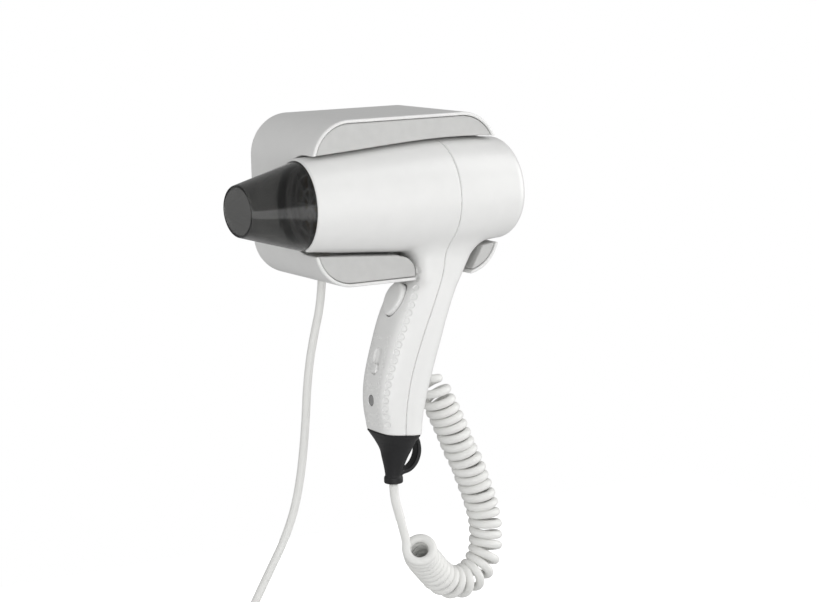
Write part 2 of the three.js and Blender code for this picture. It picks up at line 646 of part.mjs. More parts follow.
const SHAFT_R = 1.6;
const shaftFrom = MOTOR.to + GAP;
part('motor_shaft', latheX([[shaftFrom, 0], [shaftFrom, SHAFT_R], [60, SHAFT_R], [60, 0]], 12), steel);
const FAN = { from: 44, to: 57, hubR: 10, bladeR: 33, pitch: 0.72 };
const blades = Array.from({ length: 7 }, (_, i) => {
  const g = block(-8, -0.8, FAN.hubR - 1.5, 8, 0.8, FAN.bladeR);
  g.rotateZ(FAN.pitch);
  g.translate((FAN.from + FAN.to) / 2, 0, 0);
  g.rotateX((i / 7) * 2 * Math.PI);
  g.translate(0, AXIS_Y, 0);
  return solid(g);
});
part('impeller', join([ringBar(FAN.from, FAN.to, SHAFT_R + 0.3, FAN.hubR), ...blades]), darkPlastic);

// ---------- parts in and on the handle ----------
placeOnFront(part('push_button', solid(onFace(eggShape(0), -5.5, 3, 1.2, 5)), whiteGloss), BUTTON_Z);
const knob = solid(onFace(roundedRect(KNOB.length, KNOB.width, 2.4), -POCKET.depth + GAP, KNOB.proud, 0, 3))
  .add(solid(onFace(roundedRect(4, 2.6, 1.2), -6, 0, 0, 2)))
  .translate([-KNOB.offset, 0, 0]);
placeOnFront(part('slide_knob', knob, whiteGloss), POCKET_Z);
placeOnFront(part('screw_plug', onFace(disc(3.5), -2.2, -0.2, 0, 6), greyPlastic), PLUG_Z);

const screwHead = solid(onFace(disc(3), -6, -3.6, 0, 5));
const screwShank = solid(onFace(disc(1.4), -26, -5.8, 0, 4));
placeOnFront(part('handle_screw', screwHead.add(screwShank), steel), PLUG_Z);

const pushSwitch = solid(onFace(roundedRect(17, 13, 1.5), -22, -10.5, 0, 2))
  .add(solid(onFace(roundedRect(5, 5, 1), -11, -8.6, 0, 2)));
placeOnFront(part('push_switch', pushSwitch, darkPlastic), BUTTON_Z);
const slideSwitch = onFace(roundedRect(22, 12, 1.5), -15, -6.6, 0, 2);
placeOnFront(part('slide_switch', slideSwitch, darkPlastic), POCKET_Z);

// Clamp bar for the curly lead, low in the handle, with a screw hole near each end.
const CLAMP_Z = -154;
const clampHoles = [-8, 8].map((y) => solid(onFace(disc(1.5, y), -30, -10, 0, 4)));
const clampBar = solid(onFace(roundedRect(7, 22, 2), -24, -20, 0, 3));
const clamp = clampHoles.reduce((sum, hole) => sum.subtract(hole), clampBar);
placeOnFront(part('handle_clamp', clamp, darkPlastic), CLAMP_Z);

// ---------- cord guard with its hanging loop ----------
function guardRing(z, x, halfX, halfY, tilt, power) {
  return steps(0, 2 * Math.PI, 20).slice(0, -1).map((angle) => {
    const [c, s] = [Math.cos(angle), Math.sin(angle)];
    const dx = halfX * Math.sign(c) * Math.abs(c) ** (2 / power);
    const dy = halfY * Math.sign(s) * Math.abs(s) ** (2 / power);
    return new THREE.Vector3(x + dx, AXIS_Y + dy, z - dx * Math.tan(tilt));
  });
}
const guardTop = HANDLE_BOTTOM.z - GAP;
const { tilt } = HANDLE_BOTTOM;
const guardCone = solid(loft([
  guardRing(guardTop, -7, 15.8, 17, tilt, 3.2),
  guardRing(-169, -6.9, 14.7, 15.4, tilt, 2.7),
  guardRing(-172.4, -7.2, 13.3, 13.8, tilt * 0.8, 2.4),
  guardRing(-178, -8.1, 11, 11.2, tilt * 0.5, 2.1),
  guardRing(-183.5, -9, 9.2, 9.2, tilt * 0.2, 2),
  guardRing(-189.5, -9.7, 7.3, 7.3, 0, 2),
  guardRing(-196, -10.3, 5.9, 5.9, 0, 2),
  guardRing(-197.4, GUARD_END.x, 6.7, 6.7, 0, 2),
  guardRing(-200, GUARD_END.x, 6.7, 6.7, 0, 2),
  guardRing(GUARD_END.z, GUARD_END.x, 4.6, 4.6, 0, 2)]));
const LOOP = { thick: 3.2, width: 9 };
const loopPath = [[3.4, 0, -169.4], [7.6, 0, -172], [9, 0, -176.6], [9, 0, -182], [6.6, 0, -188],
  [1.6, 0, -192.6], [-6, 0, -194.4]];
const loop = tube(loopPath, LOOP.thick, 10, 5);
loop.scale(1, LOOP.width / LOOP.thick, 1);
loop.translate(0, AXIS_Y, 0);
part('cord_guard', guardCone.add(solid(loop)), blackRubber);

export default object;
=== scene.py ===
import json
import math

import bmesh
import bpy
import numpy as np
from mathutils import Matrix, Vector

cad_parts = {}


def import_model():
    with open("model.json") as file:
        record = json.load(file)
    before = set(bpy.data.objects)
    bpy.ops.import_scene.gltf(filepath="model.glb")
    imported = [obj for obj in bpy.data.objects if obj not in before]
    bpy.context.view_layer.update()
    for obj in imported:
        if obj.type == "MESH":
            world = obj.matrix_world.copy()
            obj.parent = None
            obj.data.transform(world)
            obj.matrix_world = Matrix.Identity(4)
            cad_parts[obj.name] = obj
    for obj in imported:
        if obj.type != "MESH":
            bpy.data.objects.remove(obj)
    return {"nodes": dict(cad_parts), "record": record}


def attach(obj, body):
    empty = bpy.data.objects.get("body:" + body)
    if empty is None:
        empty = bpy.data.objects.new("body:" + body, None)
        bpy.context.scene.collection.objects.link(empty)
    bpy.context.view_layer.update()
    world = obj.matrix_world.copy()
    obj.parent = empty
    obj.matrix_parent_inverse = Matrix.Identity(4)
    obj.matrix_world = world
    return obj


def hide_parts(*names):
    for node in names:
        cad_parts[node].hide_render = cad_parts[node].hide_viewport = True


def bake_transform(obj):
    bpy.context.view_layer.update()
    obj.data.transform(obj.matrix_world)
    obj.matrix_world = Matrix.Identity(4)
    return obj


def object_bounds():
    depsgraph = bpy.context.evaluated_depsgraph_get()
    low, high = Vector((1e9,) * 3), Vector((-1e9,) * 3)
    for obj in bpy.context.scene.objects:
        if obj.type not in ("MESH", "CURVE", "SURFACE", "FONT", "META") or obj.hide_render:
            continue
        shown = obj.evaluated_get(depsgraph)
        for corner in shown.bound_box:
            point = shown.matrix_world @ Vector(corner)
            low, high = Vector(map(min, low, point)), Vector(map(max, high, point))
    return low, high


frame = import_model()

MM = 0.001
CAD_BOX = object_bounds()

# ---------- driving dimensions: the CAD's, but for the cradle's gap and the curly lead's coil ----------
HOLDER_W, HOLDER_H, HOLDER_D, HOLDER_CORNER, HOLDER_WALL = 147, 114.6, 95.6, 29, 2.4
FACE_Y = -(HOLDER_D - 0.8)
AXIS_Y = -82
CRADLE_GAP = 1.3
HOUSING_WALL = 2.2
RIM_X, RIM_BORE = -80, 30.6
DOME_X, DOME_DEPTH = 75, 15.5
GRILLE_R = 27
NOZZLE_TIP_X = -124.2
HANDLE_BOTTOM_X, HANDLE_BOTTOM_Z, HANDLE_TILT = -7, -165.1, 0.13
CORD_D, CURLY_D, CURLY_R = 6, 6.4, 9.3
GUARD_END_X, GUARD_END_Z = -10.4, -201.6


# ---------- camera at the photograph's angle ----------
CAMERA_SPOT = Vector((-0.7751, -1.45586, 0.17793))
CAMERA_AZIMUTH, CAMERA_ELEVATION, CAMERA_ROLL = -29.63, 9.04, -1.49
CAMERA_LENS = 100.5


def direction(azimuth, elevation):
    """The way from the object towards an azimuth and elevation in degrees."""
    a, e = math.radians(azimuth), math.radians(elevation)
    return Vector((math.sin(a) * math.cos(e), -math.cos(a) * math.cos(e), math.sin(e)))


def camera_matrix(spot, azimuth, elevation, roll):
    """World matrix of a camera at spot, turned as azimuth, elevation and roll say, in degrees."""
    turn, lean = math.radians(azimuth), math.radians(roll)
    back = direction(azimuth, elevation)
    right = Vector((math.cos(turn), math.sin(turn), 0))
    up = back.cross(right)
    x = right * math.cos(lean) + up * math.sin(lean)
    y = up * math.cos(lean) - right * math.sin(lean)
    return Matrix.Translation(spot) @ Matrix((x, y, back)).transposed().to_4x4()


def new_object(name, data):
    """A new object in the scene."""
    made = bpy.data.objects.new(name, data)
    bpy.context.scene.collection.objects.link(made)
    return made


camera = new_object("camera", bpy.data.cameras.new("camera"))
camera.data.lens = CAMERA_LENS
camera.matrix_world = camera_matrix(CAMERA_SPOT, CAMERA_AZIMUTH, CAMERA_ELEVATION, CAMERA_ROLL)
bpy.context.scene.camera = camera


# ---------- small mathematics ----------
def smooth(*knots):
    """A smooth y(x) through a few knots (x, y), x in order, for arrays."""
    xs = np.array([k[0] for k in knots], float)
    ys = np.array([k[1] for k in knots], float)
    if xs[0] > xs[-1]:
        xs, ys = xs[::-1].copy(), ys[::-1].copy()
    before = np.maximum(np.arange(len(xs)) - 1, 0)
    after = np.minimum(np.arange(len(xs)) + 1, len(xs) - 1)
    slope = (ys[after] - ys[before]) / (xs[after] - xs[before])

    def at(x):
        i = np.clip(np.searchsorted(xs, x) - 1, 0, len(xs) - 2)
        width = xs[i + 1] - xs[i]
        rise = ys[i + 1] - ys[i]
        t = np.clip((x - xs[i]) / width, 0, 1)
        bend = (slope[i] * width - rise) * (1 - t) + (rise - slope[i + 1] * width) * t
        return ys[i] + rise * t + t * (1 - t) * bend
    return at


def circle(steps):
    """Angles spread evenly round a circle."""
    return np.linspace(0, 2 * math.pi, steps, endpoint=False)


def ease(t):
    """A smooth step: 0 up to t = 0, and 1 from t = 1."""
    t = np.clip(t, 0, 1)
    return t * t * (3 - 2 * t)


def blend_min(a, b, width):
    """The smaller of two fields, with a fillet of about that width between them."""
    h = np.maximum(width - np.abs(a - b), 0) / width
    return np.minimum(a, b) - h * h * width / 4


def blend_max(a, b, width):
    """The larger of two fields, with its edge rounded over about that width."""
    return -blend_min(-a, -b, width)


def spline(points, step):
    """Points about one step apart on a smooth curve through a route's points."""
    p = np.array(points, float)
    p = np.vstack([2 * p[0] - p[1], p, 2 * p[-1] - p[-2]])
    out = [p[1]]
    for i in range(1, len(p) - 2):
        p0, p1, p2, p3 = p[i - 1:i + 3]
        t0 = 0.0
        t1, t2, t3 = np.cumsum([max(np.linalg.norm(b - a), 1e-6) ** 0.5
                                for a, b in ((p0, p1), (p1, p2), (p2, p3))])
        count = max(1, int(round(np.linalg.norm(p2 - p1) / step)))
        for k in range(1, count + 1):
            t = t1 + (t2 - t1) * k / count
            a1 = (t1 - t) / (t1 - t0) * p0 + (t - t0) / (t1 - t0) * p1
            a2 = (t2 - t) / (t2 - t1) * p1 + (t - t1) / (t2 - t1) * p2
            a3 = (t3 - t) / (t3 - t2) * p2 + (t - t2) / (t3 - t2) * p3
            b1 = (t2 - t) / (t2 - t0) * a1 + (t - t0) / (t2 - t0) * a2
            b2 = (t3 - t) / (t3 - t1) * a2 + (t - t1) / (t3 - t1) * a3
            out.append((t2 - t) / (t2 - t1) * b1 + (t - t1) / (t2 - t1) * b2)
    return np.array(out)


def distances(points):
    """How far along a polyline each of its points is."""
    return np.concatenate([[0], np.cumsum(np.linalg.norm(np.diff(points, axis=0), axis=1))])


# ---------- meshes ----------
def mesh_piece(name, verts, faces):
    """An object from vertices in millimetres and faces, an array of quads or a list."""
    verts = np.asarray(verts, float) * MM
    mesh = bpy.data.meshes.new(name)
    if isinstance(faces, np.ndarray):
        sides = faces.shape[1]
        mesh.vertices.add(len(verts))
        mesh.vertices.foreach_set("co", verts.astype(np.float32).ravel())
        mesh.loops.add(faces.size)
        mesh.loops.foreach_set("vertex_index", faces.astype(np.int32).ravel())
        mesh.polygons.add(len(faces))
        mesh.polygons.foreach_set("loop_start", np.arange(0, faces.size, sides, dtype=np.int32))
        mesh.update(calc_edges=True)
        mesh.validate()
    else:
        mesh.from_pydata(verts.tolist(), [], faces)
        mesh.update()
    mesh.polygons.foreach_set("use_smooth", [True] * len(mesh.polygons))
    return new_object(name, mesh)


def face_out(piece):
    """Turns a closed mesh's faces outwards."""
    bm = bmesh.new()
    bm.from_mesh(piece.data)
    bmesh.ops.recalc_face_normals(bm, faces=bm.faces)
    bm.to_mesh(piece.data)
    bm.free()
    return piece


def ring_faces(rings, around, loop=False):
    """Faces of a skin through rings of points that follow each other; capped, or joined into a loop."""
    faces = []
    for i in range(rings if loop else rings - 1):
        for j in range(around):
            a, b = i * around + j, i * around + (j + 1) % around
            c, d = ((i + 1) % rings) * around + (j + 1) % around, ((i + 1) % rings) * around + j
            faces.append((a, b, c, d))
    if not loop:
        faces.append(tuple(reversed(range(around))))
        faces.append(tuple(range((rings - 1) * around, rings * around)))
    return faces


def skin(name, rings, loop=False):
    """A closed piece through rings of points."""
    rings = [np.asarray(r, float) for r in rings]
    around = len(rings[0])
    return face_out(mesh_piece(name, np.vstack(rings), ring_faces(len(rings), around, loop=loop)))


def turned(name, profile, segments):
    """A closed profile of (x, radius) turned about the barrel's axis."""
    rings = [[(x, AXIS_Y + r * math.cos(a), r * math.sin(a)) for x, r in profile] for a in circle(segments)]
    return skin(name, rings, loop=True)


def rounded_section(x0, x1, r0, r1, radius, steps=4):
    """Corners of a rectangle in (x, radius), each rounded."""
    radius = min(radius, (x1 - x0) / 2.01, (r1 - r0) / 2.01)
    centres = ((x1 - radius, r1 - radius, 0), (x0 + radius, r1 - radius, 90),
               (x0 + radius, r0 + radius, 180), (x1 - radius, r0 + radius, 270))
    out = []
    for cx, cr, start in centres:
        for i in range(steps + 1):
            a = math.radians(start + 90 * i / steps)
            out.append((cx + radius * math.cos(a), cr + radius * math.sin(a)))
    return out


def frames_along(path):
    """Unit tangents and two normals at each point of a path, turning as little as they can."""
    tangent = np.gradient(path, axis=0)
    tangent /= np.linalg.norm(tangent, axis=1)[:, None]
    normal = np.cross(tangent[0], (0, 1, 0))
    if np.linalg.norm(normal) < 0.1:
        normal = np.cross(tangent[0], (1, 0, 0))
    normals = []
    for t in tangent:
        normal = normal - t * (normal @ t)
        normal /= np.linalg.norm(normal)
        normals.append(normal)
    normals = np.array(normals)
    return tangent, normals, np.cross(tangent, normals)


TUBE_SIDES = 16


def tube_piece(name, path, diameter):
    """A round closed tube along a path."""
    _, n, b = frames_along(path)
    cos, sin = np.cos(circle(TUBE_SIDES))[None, :, None], np.sin(circle(TUBE_SIDES))[None, :, None]
    return skin(name, path[:, None, :] + diameter / 2 * (cos * n[:, None, :] + sin * b[:, None, :]))


# ---------- the cords ----------
MAINS_START = (-29.82, -20, -60.48)
MAINS_ROUTE = [(x, -20, z) for x, z in (
    (-31.2, -73), (-33.5, -86), (-37, -99), (-41.6, -119), (-44.8, -140.7), (-46.8, -162.5), (-49.4, -184),
    (-53, -205.7), (-58.6, -227.2), (-67.4, -248), (-79.2, -268.2), (-91.2, -288.5), (-98, -301),
    (-102.2, -311))]
COIL_CENTRE, COIL_RADIUS, COIL_TURNS = np.array((-77.0, -20.0, -350.0)), 33, 7
COIL_START, COIL_EXTRA = math.radians(152), math.radians(38)
TURN_STEPS, CROSSING = 40, 0.2
MAINS_TAIL = [(-112.2, -20, -383.5), (-112.5, -20, -388), (-112.5, -20, -393.7)]

CURLY_START = (37, -27, -79.9)
CURLY_LEAD_HOLDER = [CURLY_START, (37, -28, -87), (37.4, -33, -96), (38.6, -40.5, -108),
                     (40.4, -44.6, -120.5)]
CURLY_AXIS = [
    (4.6, -90, -250), (12.9, -78.5, -259.4), (25.6, -68, -271.3), (35.6, -62, -281), (45.7, -59, -287.9),
    (57.1, -57, -290.3), (67.4, -56, -287.6), (75.4, -55, -280.7), (80, -55, -271.5), (81.6, -54, -261),
    (81.6, -54, -250), (79.8, -53, -238.5), (76.4, -53, -227), (72.4, -52, -215.6), (68.3, -52, -204),
    (62.9, -51, -192.4), (58.2, -51, -181), (53.7, -50, -169.8), (49.3, -49, -159.6), (45.2, -48, -150),
    (42.2, -47, -141.5), (39.9, -46, -133)]
CURLY_LEAD_DRYER = [(GUARD_END_X, AXIS_Y, GUARD_END_Z - 0.3), (-9.6, -81.9, -213), (-6.4, -82.1, -226),
                    (-3.4, -82.6, -238.5), (-2.1, -83, -245)]
# The coil's pitch: at rest, at its widest in a bend, and its growth over the length next to the holder.
PITCH, WIDEST_PITCH = 1.04 * CURLY_D, 1.45 * CURLY_D
LOOSE_LENGTH, LOOSE_GROWTH = 30, 0.75
CURLY_STEPS, END_TURNS = 28, 1.1


def mains_path():
    """Down from the holder, then round and round in the stored coil, and out to the plug."""
    sweep = 2 * math.pi * COIL_TURNS + COIL_EXTRA
    places = [(0.0, 0.0)] + [(CORD_D * math.cos(a), CORD_D * math.sin(a)) for a in circle(6) + math.pi / 6]
    order = [2, 3, 4, 5, 6, 1, 0]
    coil = []
    steps = TURN_STEPS * COIL_TURNS
    for i in range(steps + 1):
        turn = COIL_TURNS * i / steps
        k = min(int(turn), COIL_TURNS - 1)
        here, there = places[order[k]], places[order[min(k + 1, COIL_TURNS - 1)]]
        t = ease((turn - k - 1 + CROSSING) / CROSSING)
        reach = COIL_RADIUS + here[0] + (there[0] - here[0]) * t
        side = here[1] + (there[1] - here[1]) * t
        a = COIL_START + sweep * i / steps
        coil.append(COIL_CENTRE + (reach * math.cos(a), side, reach * math.sin(a)))
    return spline([MAINS_START, *MAINS_ROUTE, *coil[1:], *MAINS_TAIL], 2.5)


def curly_path():
    """From the holder, through the coil, to the dryer: a helix about the listed axis."""
    axis = spline(CURLY_AXIS, 1.0)
    tangent, n, b = frames_along(axis)
    along = distances(axis)
    curvature = np.linalg.norm(np.gradient(tangent, along, axis=0), axis=1)
    curvature = np.convolve(np.pad(curvature, 8, mode="edge"), np.ones(17) / 17, mode="valid")
    pitch = np.minimum(PITCH / np.maximum(1 - 0.72 * CURLY_R * curvature, 0.5), WIDEST_PITCH)
    pitch = pitch * (1 + LOOSE_GROWTH * np.clip((along - along[-1] + LOOSE_LENGTH) / LOOSE_LENGTH, 0, 1))
    turns = np.concatenate([[0], np.cumsum(np.diff(along) / pitch[1:])])
    samples = np.linspace(0, turns[-1], int(turns[-1] * CURLY_STEPS))
    s = np.interp(samples, turns, along)
    centre, side_n, side_b = (np.stack([np.interp(s, along, v[:, i]) for i in range(3)], axis=1)
                              for v in (axis, n, b))
    first_side = np.array((-0.69, 0.73, 0.0))
    start = math.atan2(first_side @ b[0], first_side @ n[0])
    angle = start - 2 * math.pi * samples
    radius = CURLY_R * ease((turns[-1] - samples) / END_TURNS)
    helix = centre + radius[:, None] * (np.cos(angle)[:, None] * side_n + np.sin(angle)[:, None] * side_b)
    return spline([*CURLY_LEAD_HOLDER, *helix[::-1], *CURLY_LEAD_DRYER[::-1]], 2.2)


mains_points = mains_path()
mains = tube_piece("mains_lead", mains_points, CORD_D)
curly_points = curly_path()
curly = tube_piece("curly_lead", curly_points, CURLY_D)


# ---------- solids from fields ----------
def evaluated(field, points):
    """A field at many points, in slices, so that it needs little memory."""
    out = np.empty(len(points))
    for i in range(0, len(points), 400000):
        p = points[i:i + 400000]
        out[i:i + 400000] = field(p[:, 0], p[:, 1], p[:, 2])
    return out


def gradient(field, points, step=0.02):
    """The field's slope at each point."""
    out = np.empty_like(points)
    for i in range(3):
        shift = np.zeros(3)
        shift[i] = step
        out[:, i] = (evaluated(field, points + shift) - evaluated(field, points - shift)) / (2 * step)
    return out


def onto(field, points, rounds, limit):
    """Moves points straight onto the surface where the field is zero, by at most limit in a round."""
    for _ in range(rounds):
        value = evaluated(field, points)
        g = gradient(field, points)
        move = -value[:, None] * g / np.maximum((g * g).sum(1), 0.05)[:, None]
        size = np.linalg.norm(move, axis=1)[:, None]
        points = points + move * np.minimum(1, limit / np.maximum(size, 1e-9))
    return points


# A grid's points are grouped in blocks of this many each way.
BLOCK = 4


def lattice(counts):
    """Every index triple of a grid with these counts."""
    return np.indices(tuple(counts)).reshape(3, -1).T


def field_samples(field, low, cell, counts):
    """The field on a grid, worked out finely only near its surface."""
    blocks = counts // BLOCK
    size = BLOCK * cell
    index = lattice(blocks)
    centres = low + (index + 0.5) * size - cell / 2
    coarse = evaluated(field, centres)
    grid = np.repeat(np.repeat(np.repeat(coarse.reshape(blocks), BLOCK, 0), BLOCK, 1), BLOCK, 2)
    near = index[np.abs(coarse) < size * 1.9]
    fine = (near[:, None, :] * BLOCK + lattice([BLOCK] * 3)[None, :, :]).reshape(-1, 3)
    grid[fine[:, 0], fine[:, 1], fine[:, 2]] = evaluated(field, low + fine * cell)
    return grid


def field_net(field, low, high, cell):
    """Vertices and quads of the surface where the field is zero: one vertex in each cell it crosses."""
    low = np.array(low, float)
    counts = (np.ceil((np.array(high, float) - low) / cell / BLOCK).astype(int) + 1) * BLOCK
    f = field_samples(field, low, cell, counts)
    inside = f < 0
    corner = list(np.ndindex(2, 2, 2))
    n = counts - 1
    total = sum(inside[i:i + n[0], j:j + n[1], k:k + n[2]].astype(np.int8) for i, j, k in corner)
    cells = np.argwhere((total > 0) & (total < 8))
    number = np.full(n, -1, np.int32)
    number[cells[:, 0], cells[:, 1], cells[:, 2]] = np.arange(len(cells))
    values = {c: f[cells[:, 0] + c[0], cells[:, 1] + c[1], cells[:, 2] + c[2]] for c in corner}
    place, crossings = np.zeros((len(cells), 3)), np.zeros(len(cells))
    for c in corner:
        for axis in range(3):
            if c[axis]:
                continue
            d = tuple(1 if i == axis else c[i] for i in range(3))
            crossed = (values[c] < 0) != (values[d] < 0)
            t = np.where(crossed, values[c] / np.where(crossed, values[c] - values[d], 1), 0)
            spot = np.array(c, float)[None, :] + t[:, None] * np.eye(3)[axis]
            place += np.where(crossed[:, None], spot, 0)
            crossings += crossed
    verts = low + (cells + place / crossings[:, None]) * cell
    quads = []
    for axis in range(3):
        u, v = (axis + 1) % 3, (axis + 2) % 3
        one = np.moveaxis(inside, axis, 0)
        edges = np.argwhere(one[:-1] != one[1:])
        order = [axis] + [i for i in range(3) if i != axis]
        at = np.empty_like(edges)
        for column, i in enumerate(order):
            at[:, i] = edges[:, column]
        keep = (at[:, u] > 0) & (at[:, v] > 0) & (at[:, u] < n[u]) & (at[:, v] < n[v])
        at = at[keep]
        ring = []
        for du, dv in ((1, 1), (0, 1), (0, 0), (1, 0)):
            c = at.copy()
            c[:, u] -= du
            c[:, v] -= dv
            ring.append(number[c[:, 0], c[:, 1], c[:, 2]])
        quad = np.stack(ring, axis=1)
        start_inside = inside[at[:, 0], at[:, 1], at[:, 2]]
        quad[~start_inside] = quad[~start_inside][:, ::-1]
        quads.append(quad)
    quads = np.vstack(quads)
    return verts, quads[(quads >= 0).all(axis=1)]


def relaxed(verts, quads):
    """Each vertex moves towards the middle of its neighbours, so that the net is even."""
    pairs = np.vstack([quads[:, [0, 1]], quads[:, [1, 2]], quads[:, [2, 3]], quads[:, [3, 0]]])
    pairs = np.vstack([pairs, pairs[:, ::-1]])
    count = np.bincount(pairs[:, 0], minlength=len(verts))[:, None]
    for _ in range(2):
        total = np.stack([np.bincount(pairs[:, 0], verts[pairs[:, 1], i], len(verts)) for i in range(3)], 1)
        verts = 0.5 * verts + 0.5 * total / np.maximum(count, 1)
    return verts


def field_piece(name, field, low, high, cell, snap=None):
    """A closed piece bounded by a field's zero surface. Vertices near snap's surface land on it."""
    cell = cell * 1
    verts, quads = field_net(field, low, high, cell)
    verts = relaxed(onto(field, verts, 1, cell / 2), quads)
    if snap is not None:
        close = np.abs(evaluated(snap, verts)) < 0.45 * cell
        for _ in range(3):
            verts[close] = onto(snap, verts[close], 1, cell / 2)
            verts[close] = onto(field, verts[close], 1, cell / 2)
    verts = onto(field, verts, 3, cell / 2)
    return mesh_piece(name, verts, quads)


# ---------- the dryer's outline ----------
barrel_radius = smooth((RIM_X, 32.2), (-60, 33.6), (-40, 35), (-20, 36.5), (0, 37.9), (20, 38.9),
                       (38, 39.2), (55, 38.8), (DOME_X, 37.4))
handle_front = smooth((-15, 6.8), (-40, 6.3), (-53, 6.2), (-57.6, 5.4), (-61, 2.2), (-66, -2.8),
                      (-75, -7.8), (-83, -11.6), (-92, -15), (-103, -18.6), (-115, -22.3), (-127, -25.3),
                      (-139, -26.8), (-149, -26.6), (-158, -25.2), (-170, -23.6))
handle_rear = smooth((-15, 60), (-34, 57), (-44, 51.8), (-54, 45.8), (-67, 38.8), (-84, 31.8), (-100, 26.4),
                     (-118, 20.4), (-137, 14.6), (-149, 11.6), (-158, 10), (-170, 9))
handle_half_width = smooth((-15, 19), (-56, 19.6), (-75, 20.8), (-100, 20.9), (-130, 20), (-150, 18.8),
                           (-170, 17.6))
parting_x = smooth((60, 27.6), (0, 27.5), (-28, 27.2), (-37, 25.8), (-50, 23.6), (-58, 21.2), (-71.4, 15.4),
                   (-85, 9.4), (-98.4, 3.8), (-112, -1.2), (-125.6, -5.2), (-139.4, -7.9), (-153.4, -9.1),
                   (-180, -8.8))
FRONT_POWER, REAR_POWER = 4.2, 2.6
HANDLE_TOP_Z = -15
FILLET, RIM_ROUND, END_ROUND = 9, 1.6, 1.0
# How the barrel's underside draws in: from where, over what length, by what share; less under the dome.
DRAW_START, DRAW_LENGTH, DRAW_SHARE = 34, 36, 0.075
DOME_START, DOME_LENGTH, DOME_EASING = 80, 8, 0.7


def superellipse(u, v, power, half_u, half_v):
    """Rough distance to a superellipse, from coordinates in units of its half sizes."""
    au, av = np.abs(u), np.abs(v)
    n = np.maximum((au ** power + av ** power) ** (1 / power), 1e-6)
    slope = np.sqrt(((au / n) ** (power - 1) / half_u) ** 2 + ((av / n) ** (power - 1) / half_v) ** 2)
    return (n - 1) / slope


def underside(x, out, z):
    """The share of its radius that the barrel keeps: a little less below its rear end."""
    drawn = ease((x - DRAW_START) / DRAW_LENGTH) * (1 - DOME_EASING * ease((x - DOME_START) / DOME_LENGTH))
    low = np.clip(-z / np.maximum(out, 1), 0, 1)
    return 1 - DRAW_SHARE * drawn * low * low


def barrel_field(x, y, z):
    """The barrel: a turned outline and a rear dome that is a quarter ellipse."""
    out = np.hypot(y - AXIS_Y, z)
    u = np.clip((x - DOME_X) / DOME_DEPTH, 0, 0.97)
    r = barrel_radius(np.clip(x, RIM_X, DOME_X)) * np.sqrt(1 - u * u) * underside(x, out, z)
    slope = np.where(x > DOME_X, r / DOME_DEPTH * u / (1 - u * u), 0.07)
    return np.maximum((out - r) / np.hypot(1, slope), x - DOME_X - DOME_DEPTH)


def handle_field(x, y, z):
    """The handle: a rounded section whose front, rear and width change with height."""
    front, rear, half_width = handle_front(z), handle_rear(z), handle_half_width(z)
    half = (rear - front) / 2
    u = (x - (rear + front) / 2) / half
    power = np.where(u < 0, FRONT_POWER, REAR_POWER)
    return np.maximum(superellipse(u, (y - AXIS_Y) / half_width, power, half, half_width), z - HANDLE_TOP_Z)


def below_handle(x, z):
    """Depth below the slanting end of the handle."""
    return -((x - HANDLE_BOTTOM_X) * math.sin(HANDLE_TILT) + (z - HANDLE_BOTTOM_Z) * math.cos(HANDLE_TILT))


def dryer_outside(x, y, z):
    """The whole dryer's outer form, barrel and handle run into each other."""
    body = blend_min(barrel_field(x, y, z), handle_field(x, y, z), FILLET)
    body = blend_max(body, RIM_X - x, RIM_ROUND)
    return blend_max(body, below_handle(x, z), END_ROUND)


class FaceSpot:
    """A place on the handle's front face: its own axes run up the handle, across it and out of it."""

    def __init__(self, z):
        rise = (handle_front(np.array([z + 2.0])) - handle_front(np.array([z - 2.0])))[0] / 4
        lean = math.atan(rise)
        self.origin = np.array((handle_front(np.array([float(z)]))[0], AXIS_Y, z))
        self.up = np.array((math.sin(lean), 0, math.cos(lean)))
        self.across = np.array((0.0, 1.0, 0.0))
        self.out = np.array((-math.cos(lean), 0, math.sin(lean)))

    def local(self, x, y, z):
        """Coordinates up, across and out of the face."""
        dx, dy, dz = x - self.origin[0], y - self.origin[1], z - self.origin[2]
        return (dx * self.up[0] + dz * self.up[2], dy, dx * self.out[0] + dz * self.out[2])

    def world(self, a, b, c):
        """A point from coordinates up, across and out."""
        return self.origin + a * self.up + b * self.across + c * self.out


BUTTON = FaceSpot(-71.6)
POCKET = FaceSpot(-113)
SCREW_PLUG = FaceSpot(-140.4)
BUTTON_LONG, BUTTON_WIDE, BUTTON_MEAN = 12.2, 10.2, 10
BUTTON_LOW, BUTTON_EGG, BUTTON_GAP = 0.6, 0.09, 0.5


def egg(a, b):
    """Rough distance to the button's outline, wide above and narrow below."""
    u = (a - BUTTON_LOW) / BUTTON_LONG
    width = BUTTON_WIDE * (1 + BUTTON_EGG * np.clip(u, -1.2, 1.2))
    return (np.hypot(u, b / width) - 1) * BUTTON_MEAN


def rounded_box_2d(a, b, half_a, half_b, radius):
    """Distance to a rounded rectangle."""
    qa, qb = np.abs(a) - half_a + radius, np.abs(b) - half_b + radius
    return np.hypot(np.maximum(qa, 0), np.maximum(qb, 0)) + np.minimum(np.maximum(qa, qb), 0) - radius


# The column of dimples down the handle's near corner: its place across, and which way it faces.
COLUMN_Y = -96
COLUMN_SLANT = np.array((-0.494, -0.869, 0.0))
COLUMN_TOP, COLUMN_END, DIMPLE_STEP = -50.7, -159.8, 5.8
DIMPLE_R, DIMPLE_DEPTH, DIMPLE_EDGE = 2.15, 0.75, 0.8
DOT_R, DOT_DEPTH, DOT_EDGE = 0.9, 0.2, 0.7
DOT_ROWS, DOT_TOP, DOT_END, DOT_REACH = 19, -98, -160, 11.6
DOT_ACROSS, DOT_DOWN, DOT_BOW = 2.7, 3.5, 0.03


def facing(middles):
    """Places on the handle, and the directions that it faces there."""
    g = gradient(handle_field, middles)
    return middles, g / np.linalg.norm(g, axis=1)[:, None]


